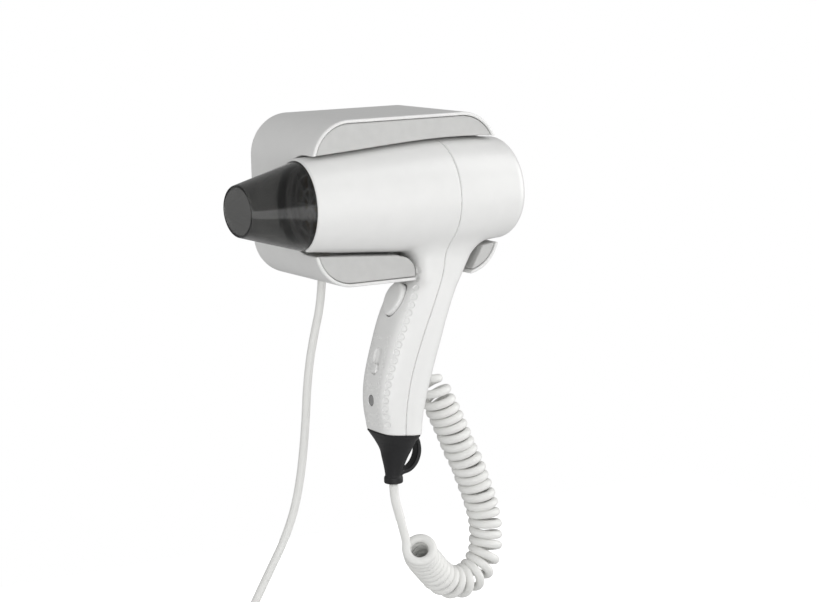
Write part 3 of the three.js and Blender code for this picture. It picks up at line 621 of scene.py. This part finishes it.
def dimple_places():
    """Middles and directions of the round dimples down both front corners of the handle."""
    column = smooth((COLUMN_TOP, 6.2), (-67.1, 2.1), (-84, -4.8), (-100.5, -11.3), (-117.1, -17.4),
                    (-133.5, -21.9), (-144.6, -23.4), (-160.5, -21.1))
    z = np.linspace(COLUMN_TOP, COLUMN_END, 600)
    along = distances(np.stack([column(z), z], axis=1))
    spots = np.interp(np.arange(0, along[-1], DIMPLE_STEP), along, z)
    near = np.stack([column(spots), np.full(len(spots), COLUMN_Y), spots], axis=1)
    for _ in range(12):
        near -= evaluated(handle_field, near)[:, None] * 0.8 * COLUMN_SLANT
    far = near * (1, -1, 1) + (0, 2 * AXIS_Y, 0)
    return facing(np.vstack([near, far]))


DIMPLES, DIMPLE_OUT = dimple_places()


def small_dot_places():
    """Middles and directions of the small dots: bowed rows across the handle's front face."""
    middles = []
    for row in range(DOT_ROWS):
        for k in range(-4, 5):
            b = k * DOT_ACROSS + (DOT_ACROSS / 2 if row % 2 else 0)
            z = DOT_TOP - DOT_DOWN * row + DOT_BOW * b * b
            clear_of_switch = abs(z - POCKET.origin[2]) > 13 or abs(b) > 7
            clear_of_screw = abs(z - SCREW_PLUG.origin[2]) > 7 or abs(b) > 7
            if z > DOT_END and abs(b) < DOT_REACH and clear_of_switch and clear_of_screw:
                middles.append((handle_front(np.array([z]))[0] + 0.3, AXIS_Y + b, z))
    return facing(onto(handle_field, np.array(middles), 5, 2.0))


DOTS, DOT_OUT = small_dot_places()


BORE_END_X, HOLLOW_START_X, MOUTH_START_X = -58, -60, 80
PAD, POCKET_HOLE, TRACK = (12, 7.5, 4), (9.5, 4.7, 4), (8, 1.7, 1.6)
RECESS_DEPTH, POCKET_DEPTH, TRACK_DEPTH, SCREW_HOLE_R = 5, 1.4, 1.9, 3.9


def dryer_shell(x, y, z):
    """The dryer's two housings as one shell, with its bore, rear mouth, hollow and handle recesses."""
    out = np.hypot(y - AXIS_Y, z)
    up, across, proud = POCKET.local(x, y, z)
    hollow = blend_min(barrel_field(x, y, z), handle_field(x, y, z), FILLET) + HOUSING_WALL
    hollow = np.maximum(hollow, HOLLOW_START_X - x)
    hollow = np.maximum(hollow, -np.maximum(rounded_box_2d(up, across, *PAD), -proud - RECESS_DEPTH))
    bore = np.maximum(out - RIM_BORE, x - BORE_END_X)
    mouth = np.maximum(out - GRILLE_R + 0.3, MOUTH_START_X - x)
    shell = blend_max(dryer_outside(x, y, z), -np.minimum(np.minimum(hollow, bore), mouth), 1.0)
    a, b, c = BUTTON.local(x, y, z)
    shell = blend_max(shell, -np.maximum(egg(a, b) - BUTTON_GAP, -c - RECESS_DEPTH), 0.7)
    pocket = np.maximum(rounded_box_2d(up, across, *POCKET_HOLE), -proud - POCKET_DEPTH)
    track = np.maximum(rounded_box_2d(up, across, *TRACK), -proud - TRACK_DEPTH)
    shell = blend_max(shell, -np.minimum(pocket, track), 0.5)
    a, b, c = SCREW_PLUG.local(x, y, z)
    return blend_max(shell, -np.maximum(np.hypot(a, b) - SCREW_HOLE_R, -c - RECESS_DEPTH), 0.4)


def past_parting(x, y, z):
    """How far a point lies behind the parting line, roughly."""
    return (x - parting_x(z)) * 0.92


SEAM_HALF, SEAM_ROUND, CASE_CELL = 0.16, 0.35, 0.8
DRYER_LOW, DRYER_HIGH = (RIM_X - 2, AXIS_Y - 42, -171), (DOME_X + DOME_DEPTH + 2, AXIS_Y + 42, 42)


def front_edge(x, y, z):
    """Negative on the front housing's side of the seam."""
    return past_parting(x, y, z) + SEAM_HALF


def rear_edge(x, y, z):
    """Negative on the rear housing's side of the seam."""
    return SEAM_HALF - past_parting(x, y, z)


def front_field(x, y, z):
    """The front housing."""
    return blend_max(dryer_shell(x, y, z), front_edge(x, y, z), SEAM_ROUND)


def rear_field(x, y, z):
    """The rear housing."""
    return blend_max(dryer_shell(x, y, z), rear_edge(x, y, z), SEAM_ROUND)


def refined(piece, chosen):
    """Splits the faces whose middles, in millimetres, the function chooses."""
    bm = bmesh.new()
    bm.from_mesh(piece.data)
    middles = np.array([f.calc_center_median() for f in bm.faces]) / MM
    wanted = chosen(middles)
    edges = set()
    for face, yes in zip(bm.faces, wanted):
        if yes:
            edges.update(face.edges)
    bmesh.ops.subdivide_edges(bm, edges=list(edges), cuts=1, use_grid_fill=True)
    bm.to_mesh(piece.data)
    bm.free()


def vertices_of(piece):
    """A piece's vertices in millimetres."""
    co = np.empty(len(piece.data.vertices) * 3, np.float32)
    piece.data.vertices.foreach_get("co", co)
    return co.reshape(-1, 3).astype(float) / MM


def set_vertices(piece, points):
    """Moves a piece's vertices to points given in millimetres."""
    piece.data.vertices.foreach_set("co", (points * MM).astype(np.float32).ravel())
    piece.data.update()


def emboss(piece, field, chosen):
    """Moves the chosen vertices of a piece onto a field's surface."""
    points = vertices_of(piece)
    pick = chosen(points)
    points[pick] = onto(field, points[pick], 3, 0.3)
    set_vertices(piece, points)


def near_front_face(points):
    """Points on the outside of the handle's front half, below the holder."""
    x, y, z = points.T
    ahead = x < (handle_front(z) + handle_rear(z)) / 2 - 3
    return (z < -47) & (z > -166) & ahead & (np.abs(dryer_outside(x, y, z)) < 0.9)


def near_recesses(points):
    """Points close to a dimple or a small dot."""
    out = np.zeros(len(points), bool)
    for middles, reach in ((DIMPLES, 3.4), (DOTS, 1.5)):
        for middle in middles:
            out |= np.abs(points - middle).max(axis=1) < reach
    return out & near_front_face(points)


def pressed(piece, middles, outs, radius, depth, edge):
    """Presses shallow round recesses into a piece's outside, one at each middle."""
    points = vertices_of(piece)
    outside = np.flatnonzero(near_front_face(points))
    for middle, out in zip(middles, outs):
        near = outside[np.abs(points[outside] - middle).max(axis=1) < radius + edge]
        d = points[near] - middle
        height = d @ out
        radial = np.linalg.norm(d - height[:, None] * out, axis=1)
        share = ease((radius + edge / 2 - radial) / edge)
        points[near] -= (depth * share)[:, None] * out
    set_vertices(piece, points)


def build_front_housing():
    """The front housing, with finer faces where the handle has its recesses."""
    high = (32, DRYER_HIGH[1], DRYER_HIGH[2])
    piece = field_piece("front_case", front_field, DRYER_LOW, high, CASE_CELL, front_edge)
    refined(piece, near_front_face)
    refined(piece, near_recesses)
    emboss(piece, front_field, near_front_face)
    pressed(piece, DIMPLES, DIMPLE_OUT, DIMPLE_R, DIMPLE_DEPTH, DIMPLE_EDGE)
    pressed(piece, DOTS, DOT_OUT, DOT_R, DOT_DEPTH, DOT_EDGE)
    return piece


front_case = build_front_housing()
rear_low = (-14, DRYER_LOW[1], DRYER_LOW[2])
rear_case = field_piece("rear_case", rear_field, rear_low, DRYER_HIGH, CASE_CELL, rear_edge)


# ---------- the holder ----------
# The handle's slot: its rounded left corner, its right side at the top and at the bottom, top and back.
SLOT_X, SLOT_Z, SLOT_CORNER = -7.6, -51.4, 12
SLOT_RIGHT, SLOT_LOW_RIGHT, SLOT_TURN_Z, SLOT_TURN = 60.6, 48.2, -36, 21.3
SLOT_TOP_Z, SLOT_BACK_Y = -30, -58.5
MAINS_GLAND, CURLY_GLAND, GLAND_Z = (-29.5, -20), (37, -27), -57.3
GLAND_HOLE_R, GLAND_HOLE_TOP = 5.6, -48
LINER_GAP, LINER_WALL, LINER_BACK_Y = 0.4, 2.2, -38


def cradle_field(x, y, z):
    """The channel the barrel lies in, open to the room: negative inside it."""
    out = np.where(y < AXIS_Y, np.abs(z), np.hypot(y - AXIS_Y, z))
    radius = barrel_radius(np.clip(x, RIM_X, DOME_X)) * underside(np.minimum(x, DOME_X), out, z)
    return out - radius - CRADLE_GAP


def slot_field(x, y, z):
    """The gap under the cradle that the handle hangs through."""
    corner = SLOT_CORNER - np.hypot(np.maximum(x - SLOT_X, 0), np.maximum(z - SLOT_Z, 0))
    left = np.maximum(corner, SLOT_X - x)
    right_x = SLOT_RIGHT + (SLOT_LOW_RIGHT - SLOT_RIGHT) * np.clip((SLOT_TURN_Z - z) / SLOT_TURN, 0, 1)
    return np.maximum(np.maximum(left, (x - right_x) * 0.9), np.maximum(z - SLOT_TOP_Z, y - SLOT_BACK_Y))


def holder_cut(x, y, z):
    """All that is cut out of the holder for the dryer."""
    return np.minimum(cradle_field(x, y, z), slot_field(x, y, z))


def gland_holes(x, y, z):
    """The two leads' holes in the holder's underside."""
    mains_hole, curly_hole = (np.hypot(x - place[0], y - place[1]) for place in (MAINS_GLAND, CURLY_GLAND))
    return np.maximum(np.minimum(mains_hole, curly_hole) - GLAND_HOLE_R, z - GLAND_HOLE_TOP)


def holder_shell_field(x, y, z):
    """The holder's white casing, open at the front and back."""
    wall = rounded_box_2d(x, z, HOLDER_W / 2, HOLDER_H / 2, HOLDER_CORNER)
    body = blend_max(blend_max(wall, -(y + HOLDER_D), 1.6), y + 0.8, 0.6)
    body = blend_max(body, -(wall + HOLDER_WALL), 0.8)
    body = blend_max(body, -holder_cut(x, y, z), 0.5)
    return blend_max(body, -gland_holes(x, y, z), 0.4)


def liner_field(x, y, z):
    """The holder's grey inner moulding: its face and the cradle's lining."""
    wall = rounded_box_2d(x, z, HOLDER_W / 2, HOLDER_H / 2, HOLDER_CORNER) + HOLDER_WALL + LINER_GAP
    cut = holder_cut(x, y, z)
    body = blend_max(np.maximum(wall, y - LINER_BACK_Y), FACE_Y - y, 0.7)
    body = blend_max(body, -cut, 0.4)
    hollow = np.maximum(np.maximum(wall + LINER_WALL, FACE_Y + LINER_WALL - y), LINER_WALL - cut)
    return np.maximum(body, -hollow)


HOLDER_LOW = (-HOLDER_W / 2 - 2, -HOLDER_D - 2, -HOLDER_H / 2 - 2)
HOLDER_HIGH = (HOLDER_W / 2 + 2, 1, HOLDER_H / 2 + 2)
shell = field_piece("holder_case", holder_shell_field, HOLDER_LOW, HOLDER_HIGH, CASE_CELL)
liner_high = (HOLDER_HIGH[0], -34, HOLDER_HIGH[2])
liner = field_piece("holder_face", liner_field, HOLDER_LOW, liner_high, CASE_CELL)


# ---------- nozzle and grilles ----------
def nozzle_rings():
    """Rings down the outside of the nozzle, round its lip and back up the inside."""
    tip_y, tip_z, base, base_x = 22, 17.5, RIM_BORE - 0.4, -73
    wall, lip_r = 1.6, 0.8
    around = circle(128)

    def ring(x, inset):
        t = np.clip((RIM_X - x) / (RIM_X - NOZZLE_TIP_X), 0, 1)
        half_y = base + (tip_y - base) * t - inset
        half_z = base + (tip_z - base) * t - inset
        y, z = AXIS_Y + half_y * np.cos(around), half_z * np.sin(around)
        return np.stack([np.full(len(around), x), y, z], 1)
    rings = [ring(x, 0) for x in np.linspace(base_x - 0.4, NOZZLE_TIP_X + lip_r, 24)]
    lip = [(lip_r - lip_r * math.sin(a), lip_r - lip_r * math.cos(a))
           for a in np.linspace(0, math.pi / 2, 5)][1:]
    rings += [ring(NOZZLE_TIP_X + x, inset) for x, inset in lip]
    rings += [ring(NOZZLE_TIP_X + x, wall - inset) for x, inset in reversed(lip)]
    rings += [ring(x, wall) for x in np.linspace(NOZZLE_TIP_X + lip_r, base_x - 0.4, 24)]
    rings += [ring(base_x, wall - 0.4), ring(base_x, 0.4)]
    return rings


nozzle = skin("air_nozzle", nozzle_rings(), loop=True)


def box_bar(x0, x1, length, width, angle):
    """The two end rings of a bar across the barrel's axis, with soft edges, turned by angle."""
    points = rounded_section(x0, x1, -width / 2, width / 2, 0.35, 3)
    c, s = math.cos(angle), math.sin(angle)
    return [[(x, AXIS_Y + along * c - side * s, along * s + side * c) for x, side in points]
            for along in (-length, length)]


def grille(name, rings, bars, hub=None):
    """Round bars (x0, x1, inner and outer radius), spokes and a hub as one piece."""
    parts = [turned(name, rounded_section(*ring, 0.5), 96) for ring in rings]
    parts += [skin(name + "_bar", box_bar(*bar)) for bar in bars]
    if hub:
        parts.append(turned(name + "_hub", hub, 64))
    bpy.ops.object.select_all(action="DESELECT")
    for p in parts:
        p.select_set(True)
    bpy.context.view_layer.objects.active = parts[0]
    bpy.ops.object.join()
    joined = bpy.context.view_layer.objects.active
    joined.name = name
    return joined


outlet = grille(
    "outlet_guard",
    [(-70, -66, 28, 30.2), (-70, -67.6, 20.4, 22), (-70, -67.6, 10.4, 12)],
    [(-70, -67.6, 29, 1.6, math.pi * k / 4) for k in range(4)])
intake = grille(
    "intake_guard",
    [(83.6, 86.6, 23.2, 26.3), (84.8, 87.8, 17.4, 20), (85.6, 88.6, 11.6, 14.2)],
    [(85, 86.6, 24, 2, math.pi * k / 3) for k in range(3)],
    [(86, 0.01), (86, 7.6), (86.4, 8), (88.6, 8), (89.2, 7.4), (90, 5), (90.4, 2.5), (90.5, 0.01)])


# ---------- button, knob and screw plug ----------
BUTTON_OUTLINE = [(1.0, -5.5), (1.0, 1.2), (0.993, 1.65), (0.975, 2.05), (0.945, 2.4), (0.9, 2.68),
                  (0.83, 2.88), (0.72, 3.03), (0.57, 3.15), (0.38, 3.24), (0.18, 3.28), (0.02, 3.29)]
KNOB_DOWN = 5.2


def button_rings():
    """Rings of the push button, from its foot inside the handle to the middle of its dome."""
    around = circle(96)
    rings = []
    for share, height in BUTTON_OUTLINE:
        a = BUTTON_LOW + BUTTON_LONG * np.cos(around) * share
        b = BUTTON_WIDE * (1 + BUTTON_EGG * np.cos(around) * share) * np.sin(around) * share
        rings.append([BUTTON.world(p, q, height) for p, q in zip(a, b)])
    return rings


button = skin("press_button", button_rings())


def knob_field(x, y, z):
    """The slide switch's knob: a soft block with three ribs across its top."""
    a, b, c = POCKET.local(x, y, z)
    a = a + KNOB_DOWN
    block = np.maximum(rounded_box_2d(a, b, 3.2, 4.0, 1.6), np.abs(c - 0.2) - 1.3)
    top = 1.5 + 0.12 * np.cos(a * 2 * math.pi / 1.6) - 0.03 * b * b
    return blend_max(block, c - top, 0.8)


knob_middle = POCKET.world(-KNOB_DOWN, 0, 0)
knob = field_piece("switch_knob", knob_field, knob_middle - 6, knob_middle + 6, 0.22)


def screw_plug_rings():
    """Rings of the plug over the handle's screw, from its foot to its slightly sunk middle."""
    around = circle(48)
    outline = [(3.3, -2.2), (3.5, -2.0), (3.5, -0.55), (3.4, -0.3), (3.1, -0.2), (1.6, -0.28), (0.05, -0.3)]
    return [[SCREW_PLUG.world(r * math.cos(a), r * math.sin(a), height) for a in around]
            for r, height in outline]


screw_plug = skin("screw_cap", screw_plug_rings())


# ---------- cord guard, glands and plug ----------
guard_middle = smooth((-165.4, -9.2), (-172.4, -8.4), (-178, -8.1), (-183.5, -9), (-189.5, -9.7),
                      (-196, -10.3), (-202, -10.4))
guard_half = smooth((-165.2, 16), (-169, 14.9), (-172.4, 13.3), (-178, 11), (-183.5, 9.2), (-189.5, 7.3),
                    (-196, 5.9), (-202, 5.8))
guard_wide = smooth((-165.2, 17.9), (-169, 15.9), (-172.4, 13.8), (-178, 11.2), (-183.5, 9.2),
                    (-189.5, 7.3), (-196, 5.9), (-202, 5.8))
guard_power = smooth((-165.2, 3.8), (-169, 2.7), (-172.4, 2.4), (-178, 2.1), (-183.5, 2), (-202, 2))
LOOP_THICK, LOOP_WIDE = 3.2, 9
LOOP_PATH = spline([(x, AXIS_Y, z) for x, z in (
    (3.4, -169.4), (7.6, -172), (9, -176.6), (9, -182), (6.6, -188), (1.6, -192.6), (-6, -194.4))], 0.8)
COLLAR_Z, COLLAR_R, COLLAR_HALF, COLLAR_ROUND = -199.2, 5.6, 1.3, 1.1


def guard_field(x, y, z):
    """The black rubber guard: a flared cone, a collar at its end and a flat hanging loop."""
    tilted = z + (x + 7) * math.tan(HANDLE_TILT) * np.clip((z + 190) / 24, 0, 1)
    half, wide = guard_half(tilted), guard_wide(tilted)
    u, v = (x - guard_middle(tilted)) / half, (y - AXIS_Y) / wide
    cone = superellipse(u, v, guard_power(tilted), half, wide)
    out = np.hypot(x - GUARD_END_X, y - AXIS_Y)
    collar = np.hypot(np.maximum(out - COLLAR_R, 0), np.maximum(np.abs(z - COLLAR_Z) - COLLAR_HALF, 0))
    collar = collar - COLLAR_ROUND
    aside = np.full(x.shape, 1e9)
    for p in LOOP_PATH:
        aside = np.minimum(aside, np.hypot(x - p[0], z - p[2]))
    strap = rounded_box_2d(aside, y - AXIS_Y, LOOP_THICK / 2, LOOP_WIDE / 2, 1.3)
    body = blend_min(blend_min(cone, collar, 1.2), strap, 1.6)
    body = blend_max(body, -(below_handle(x, z) - 0.3), 0.5)
    hole = np.maximum(out - CURLY_D / 2 - 0.1, z - GUARD_END_Z - 0.7)
    return blend_max(blend_max(body, GUARD_END_Z - z, 0.5), -hole, 0.3)


guard = field_piece("lead_guard", guard_field, (-28, AXIS_Y - 20, -204), (16, AXIS_Y + 20, -159), 0.55)


def gland_piece(name, exit_point, lead_d, tilt, ribs):
    """A flanged grommet in the holder's underside, with a tapered relief of shallow ribs below it."""
    r = lead_d / 2
    outline = [(5.2, 0.02), (5.2, 7.1), (4.8, 7.5), (3.6, 7.5), (3.2, 7.1), (3.2, r + 1.6), (0, r + 1.6),
               (-0.8, r + 1.3)]
    for k in range(ribs):
        z = -2.6 - 3.6 * k
        taper = r + 1.5 - 0.2 * k
        outline += [(z, taper), (z - 0.4, taper - 0.35), (z - 1.0, taper - 0.35), (z - 1.4, taper - 0.05)]
    end = -2.6 - 3.88 * ribs
    outline += [(end + 0.6, r + 0.45), (end + 0.1, r + 0.2), (end, 0.02)]
    angles = circle(40)
    c, s = math.cos(tilt), math.sin(tilt)
    rings = []
    for z, radius in outline:
        ring = [(radius * math.cos(a), radius * math.sin(a)) for a in angles]
        rings.append([(exit_point[0] + u * c + z * s, exit_point[1] + v, exit_point[2] - u * s + z * c)
                      for u, v in ring])
    return skin(name, rings)


mains_gland = gland_piece("mains_relief", (*MAINS_GLAND, GLAND_Z), CORD_D, 0.1, 0)
curly_gland = gland_piece("curly_relief", (*CURLY_GLAND, GLAND_Z), CURLY_D, 0, 5)

PLUG_X, PLUG_Y, PLUG_TOP = -112.5, -20, -394


def plug_rings():
    """The plug's body: a ribbed relief, shoulders and a flat oval grip with a waist."""
    around = circle(72)
    levels = [(0, 3.9, 3.9)]
    for k in range(4):
        for down, half_x, half_y in ((0, 4.1, 4.0), (0.5, 4.6, 4.5), (2.2, 4.7, 4.6), (2.8, 4.2, 4.1)):
            levels.append((1.5 + 4 * k + down, half_x + 0.35 * k, half_y + 0.3 * k))
    levels += [(18, 6, 5.6), (20, 8.4, 6.4), (23, 11.6, 7.4), (27, 14.6, 8.4), (31, 16.4, 8.9),
               (35, 16.6, 8.7), (39, 16.3, 8.2), (43, 16.5, 8.5), (46, 17, 9), (47.4, 16.8, 8.8),
               (48, 16.1, 8.1), (48, 0.02, 0.02)]
    rings = []
    for depth, half_x, half_y in levels:
        power = 2 + 1.2 * min(max((depth - 18) / 12, 0), 1)
        c, s = np.cos(around), np.sin(around)
        x = PLUG_X + half_x * np.sign(c) * np.abs(c) ** (2 / power)
        y = PLUG_Y + half_y * np.sign(s) * np.abs(s) ** (2 / power)
        rings.append(np.stack([x, y, np.full(len(around), PLUG_TOP - depth)], 1))
    return rings


plug = skin("mains_plug", plug_rings())


TIE_OUTLINE = [(-4, 10.2), (-3.7, 10.0), (3.7, 10.0), (4, 10.2), (4, 10.8), (3.7, 11.0), (-3.7, 11.0),
               (-4, 10.8)]


def tie_piece():
    """A soft band round the top of the stored coil."""
    around = circle(60)
    cx, cy, cz = COIL_CENTRE + (0, 0, COIL_RADIUS)
    rings = [[(cx + x, cy + r * math.cos(a), cz + r * math.sin(a)) for a in around] for x, r in TIE_OUTLINE]
    return skin("cord_tie", rings, loop=True)


tie = tie_piece()


# ---------- materials ----------
BUMP_DISTANCE = 0.0002


def set_inputs(node, **values):
    """Sets inputs of a node by their names, in lower case and with underscores."""
    for name, value in values.items():
        label = name.replace("_", " ").title().replace("Ior", "IOR")
        node.inputs[label].default_value = value


def material(name, color, roughness, speckle, fine, bump=0.0, spread=0.05, **sockets):
    """A moulded material: a slightly uneven colour and gloss, and a fine surface, from noise."""
    m = bpy.data.materials.new(name)
    m.use_nodes = True
    nodes, links = m.node_tree.nodes, m.node_tree.links
    shader = nodes["Principled BSDF"]
    set_inputs(shader, **sockets)
    place = nodes.new("ShaderNodeTexCoord")

    def noise(scale, detail=3.0):
        n = nodes.new("ShaderNodeTexNoise")
        set_inputs(n, scale=scale, detail=detail)
        links.new(place.outputs["Object"], n.inputs["Vector"])
        return n.outputs["Fac"]

    def mapped(source, low, high):
        n = nodes.new("ShaderNodeMapRange")
        set_inputs(n, from_min=0.3, from_max=0.7, to_min=low, to_max=high)
        links.new(source, n.inputs["Value"])
        return n.outputs["Result"]
    mix = nodes.new("ShaderNodeMix")
    mix.data_type = "RGBA"
    set_inputs(mix, a=(*[c * (1 - speckle) for c in color], 1),
               b=(*[min(c * (1 + speckle), 1) for c in color], 1))
    links.new(mapped(noise(fine * 0.06, 5), 0, 1), mix.inputs["Factor"])
    links.new(mix.outputs["Result"], shader.inputs["Base Color"])
    uneven = mapped(noise(fine * 0.25), roughness - spread, roughness + spread)
    links.new(uneven, shader.inputs["Roughness"])
    if bump:
        height = noise(fine)
        b = nodes.new("ShaderNodeBump")
        set_inputs(b, strength=bump, distance=BUMP_DISTANCE)
        links.new(height, b.inputs["Height"])
        links.new(b.outputs["Normal"], shader.inputs["Normal"])
    return m


BY_SLOT = {
    "white_plastic": material("white_gloss", (0.80, 0.80, 0.79), 0.33, 0.012, 1500, 0.05,
                              coat_weight=0.15, coat_roughness=0.2),
    "grey_face": material("face_matt", (0.54, 0.54, 0.53), 0.55, 0.03, 2600, 0.25),
    "smoked_plastic": material("smoked", (0.31, 0.31, 0.305), 0.13, 0.02, 300, spread=0.02,
                               transmission_weight=1.0, ior=1.45, specular_ior_level=0.3),
    "black_rubber": material("black_rubber", (0.011, 0.011, 0.012), 0.5, 0.15, 2200, 0.15,
                             specular_ior_level=0.35),
    "white_cord": material("lead_jacket", (0.79, 0.79, 0.77), 0.42, 0.01, 1800, 0.03),
    "grey_plastic": material("mid_grey", (0.27, 0.27, 0.27), 0.5, 0.04, 1800, 0.15),
    "dark_plastic": material("dark_moulded", (0.035, 0.035, 0.037), 0.45, 0.1, 1500, 0.15),
    "steel": material("plated_steel", (0.52, 0.53, 0.54), 0.32, 0.05, 1200, 0.1, metallic=1.0),
    "nickel": material("nickel", (0.62, 0.6, 0.56), 0.2, 0.03, 900, 0.05, metallic=1.0),
    "mica": material("mica_sheet", (0.42, 0.3, 0.14), 0.6, 0.35, 900, 0.3),
    "circuit_board": material("board_green", (0.03, 0.14, 0.06), 0.45, 0.15, 700, 0.1)}
# The outlet guard gets a mid grey in place of its dark plastic: painted light, standing in for the light
# that the smoked nozzle keeps from it.
outlet_painted_light = material("outlet_painted_light", (0.5, 0.5, 0.5), 0.5, 0.06, 1500, 0.15)

EDGE_WIDTH = 0.0003
SLOT_OF = {s["node"]: s["material_slot"] for s in frame["record"]["subparts"]}


def dress(piece, slot):
    """Gives a piece its slot's material as its only one."""
    piece.data.materials.clear()
    piece.data.materials.append(BY_SLOT[slot])


for piece, body, slot, *nodes in (
        (front_case, "dryer", "white_plastic", "front_housing"),
        (rear_case, "dryer", "white_plastic", "rear_housing"),
        (shell, "holder", "white_plastic", "holder_shell"),
        (liner, "holder", "grey_face", "holder_liner"),
        (nozzle, "nozzle", "smoked_plastic", "nozzle"),
        (outlet, "dryer", "dark_plastic", "outlet_grille"),
        (intake, "dryer", "dark_plastic", "rear_grille"),
        (button, "button", "white_plastic", "push_button"),
        (knob, "knob", "white_plastic", "slide_knob"),
        (screw_plug, "dryer", "grey_plastic", "screw_plug"),
        (guard, "dryer", "black_rubber", "cord_guard"),
        (mains_gland, "holder", "white_cord", "mains_gland"),
        (curly_gland, "holder", "white_cord", "curly_gland"),
        (plug, "holder", "white_cord", "plug_body"),
        (tie, "holder", "dark_plastic", "coil_tie"),
        (mains, "holder", "white_cord", "mains_cord", "mains_coil", "mains_tail")):
    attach(piece, body)
    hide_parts(*nodes)
    dress(piece, slot)
# Painted light: the outlet guard's lighter grey stands in for light that doesn't reach it behind the smoked
# nozzle.
outlet.data.materials[0] = outlet_painted_light

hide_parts("curly_cord", "curly_lead_holder", "curly_lead_dryer")
dress(curly, "white_cord")
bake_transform(curly)

for name, node in frame["nodes"].items():
    dress(node, SLOT_OF[name])
    if not node.hide_render:
        bevel = node.modifiers.new("edge", "BEVEL")
        bevel.width = EDGE_WIDTH
        bevel.segments = 2
        bevel.limit_method = "ANGLE"
        bevel.angle_limit = math.radians(50)


# ---------- floor and light ----------
FLOOR_SIZE, FLOOR_BELOW = 0.9, 0.03
FLOOR_DIM, WORLD_DIM = 0.139, 0.327


def seen_white(nodes, links, dim):
    """A strength of one for what the camera sees directly, and dim as a light on the object."""
    rays = nodes.new("ShaderNodeLightPath")
    strength = nodes.new("ShaderNodeMapRange")
    set_inputs(strength, to_min=dim, to_max=1.0)
    links.new(rays.outputs["Is Camera Ray"], strength.inputs["Value"])
    return strength.outputs["Result"]


def floor():
    """A pale floor, a little below the plug."""
    bm = bmesh.new()
    bmesh.ops.create_grid(bm, x_segments=8, y_segments=8, size=FLOOR_SIZE)
    mesh = bpy.data.meshes.new("floor")
    bm.to_mesh(mesh)
    bm.free()
    piece = new_object("floor", mesh)
    piece.location = (0, -0.1, CAD_BOX[0][2] - FLOOR_BELOW)
    m = bpy.data.materials.new("pale_floor")
    m.use_nodes = True
    nodes, links = m.node_tree.nodes, m.node_tree.links
    shader = nodes["Principled BSDF"]
    set_inputs(shader, base_color=(0.5, 0.5, 0.5, 1), roughness=1.0, specular_ior_level=0.0,
               emission_color=(1, 1, 1, 1))
    links.new(seen_white(nodes, links, FLOOR_DIM), shader.inputs["Emission Strength"])
    mesh.materials.append(m)


LAMP_TARGET, LAMP_DISTANCE = Vector((0, -0.1, -0.08)), 2.4


def soft_light(name, azimuth, elevation, power, size=1.4):
    """A large soft lamp that faces the dryer from an azimuth and elevation in degrees."""
    lamp = bpy.data.lights.new(name, "AREA")
    lamp.shape, lamp.size, lamp.energy = "DISK", size, power
    away = direction(azimuth, elevation)
    o = new_object(name, lamp)
    o.location = LAMP_TARGET + LAMP_DISTANCE * away
    o.rotation_mode = "QUATERNION"
    o.rotation_quaternion = away.to_track_quat("Z", "Y")


def world():
    """White to the camera, and an even soft light from all round."""
    w = bpy.data.worlds.new("studio")
    bpy.context.scene.world = w
    w.use_nodes = True
    nodes, links = w.node_tree.nodes, w.node_tree.links
    set_inputs(nodes["Background"], color=(1, 1, 1, 1))
    links.new(seen_white(nodes, links, WORLD_DIM), nodes["Background"].inputs["Strength"])


floor()
soft_light("front", -30, 10, 16.5, 2.2)
soft_light("right_front", 35, 10, 9.5, 2.2)
soft_light("right", 80, 10, 23.8, 2.2)
soft_light("left", -95, 10, 11.6, 2.2)
soft_light("high_right", 60, 50, 10.6)
soft_light("high_left", -80, 50, 2)
soft_light("low_front", -10, -15, 21, 2.4)
world()
bpy.context.scene.view_settings.view_transform = "Standard"
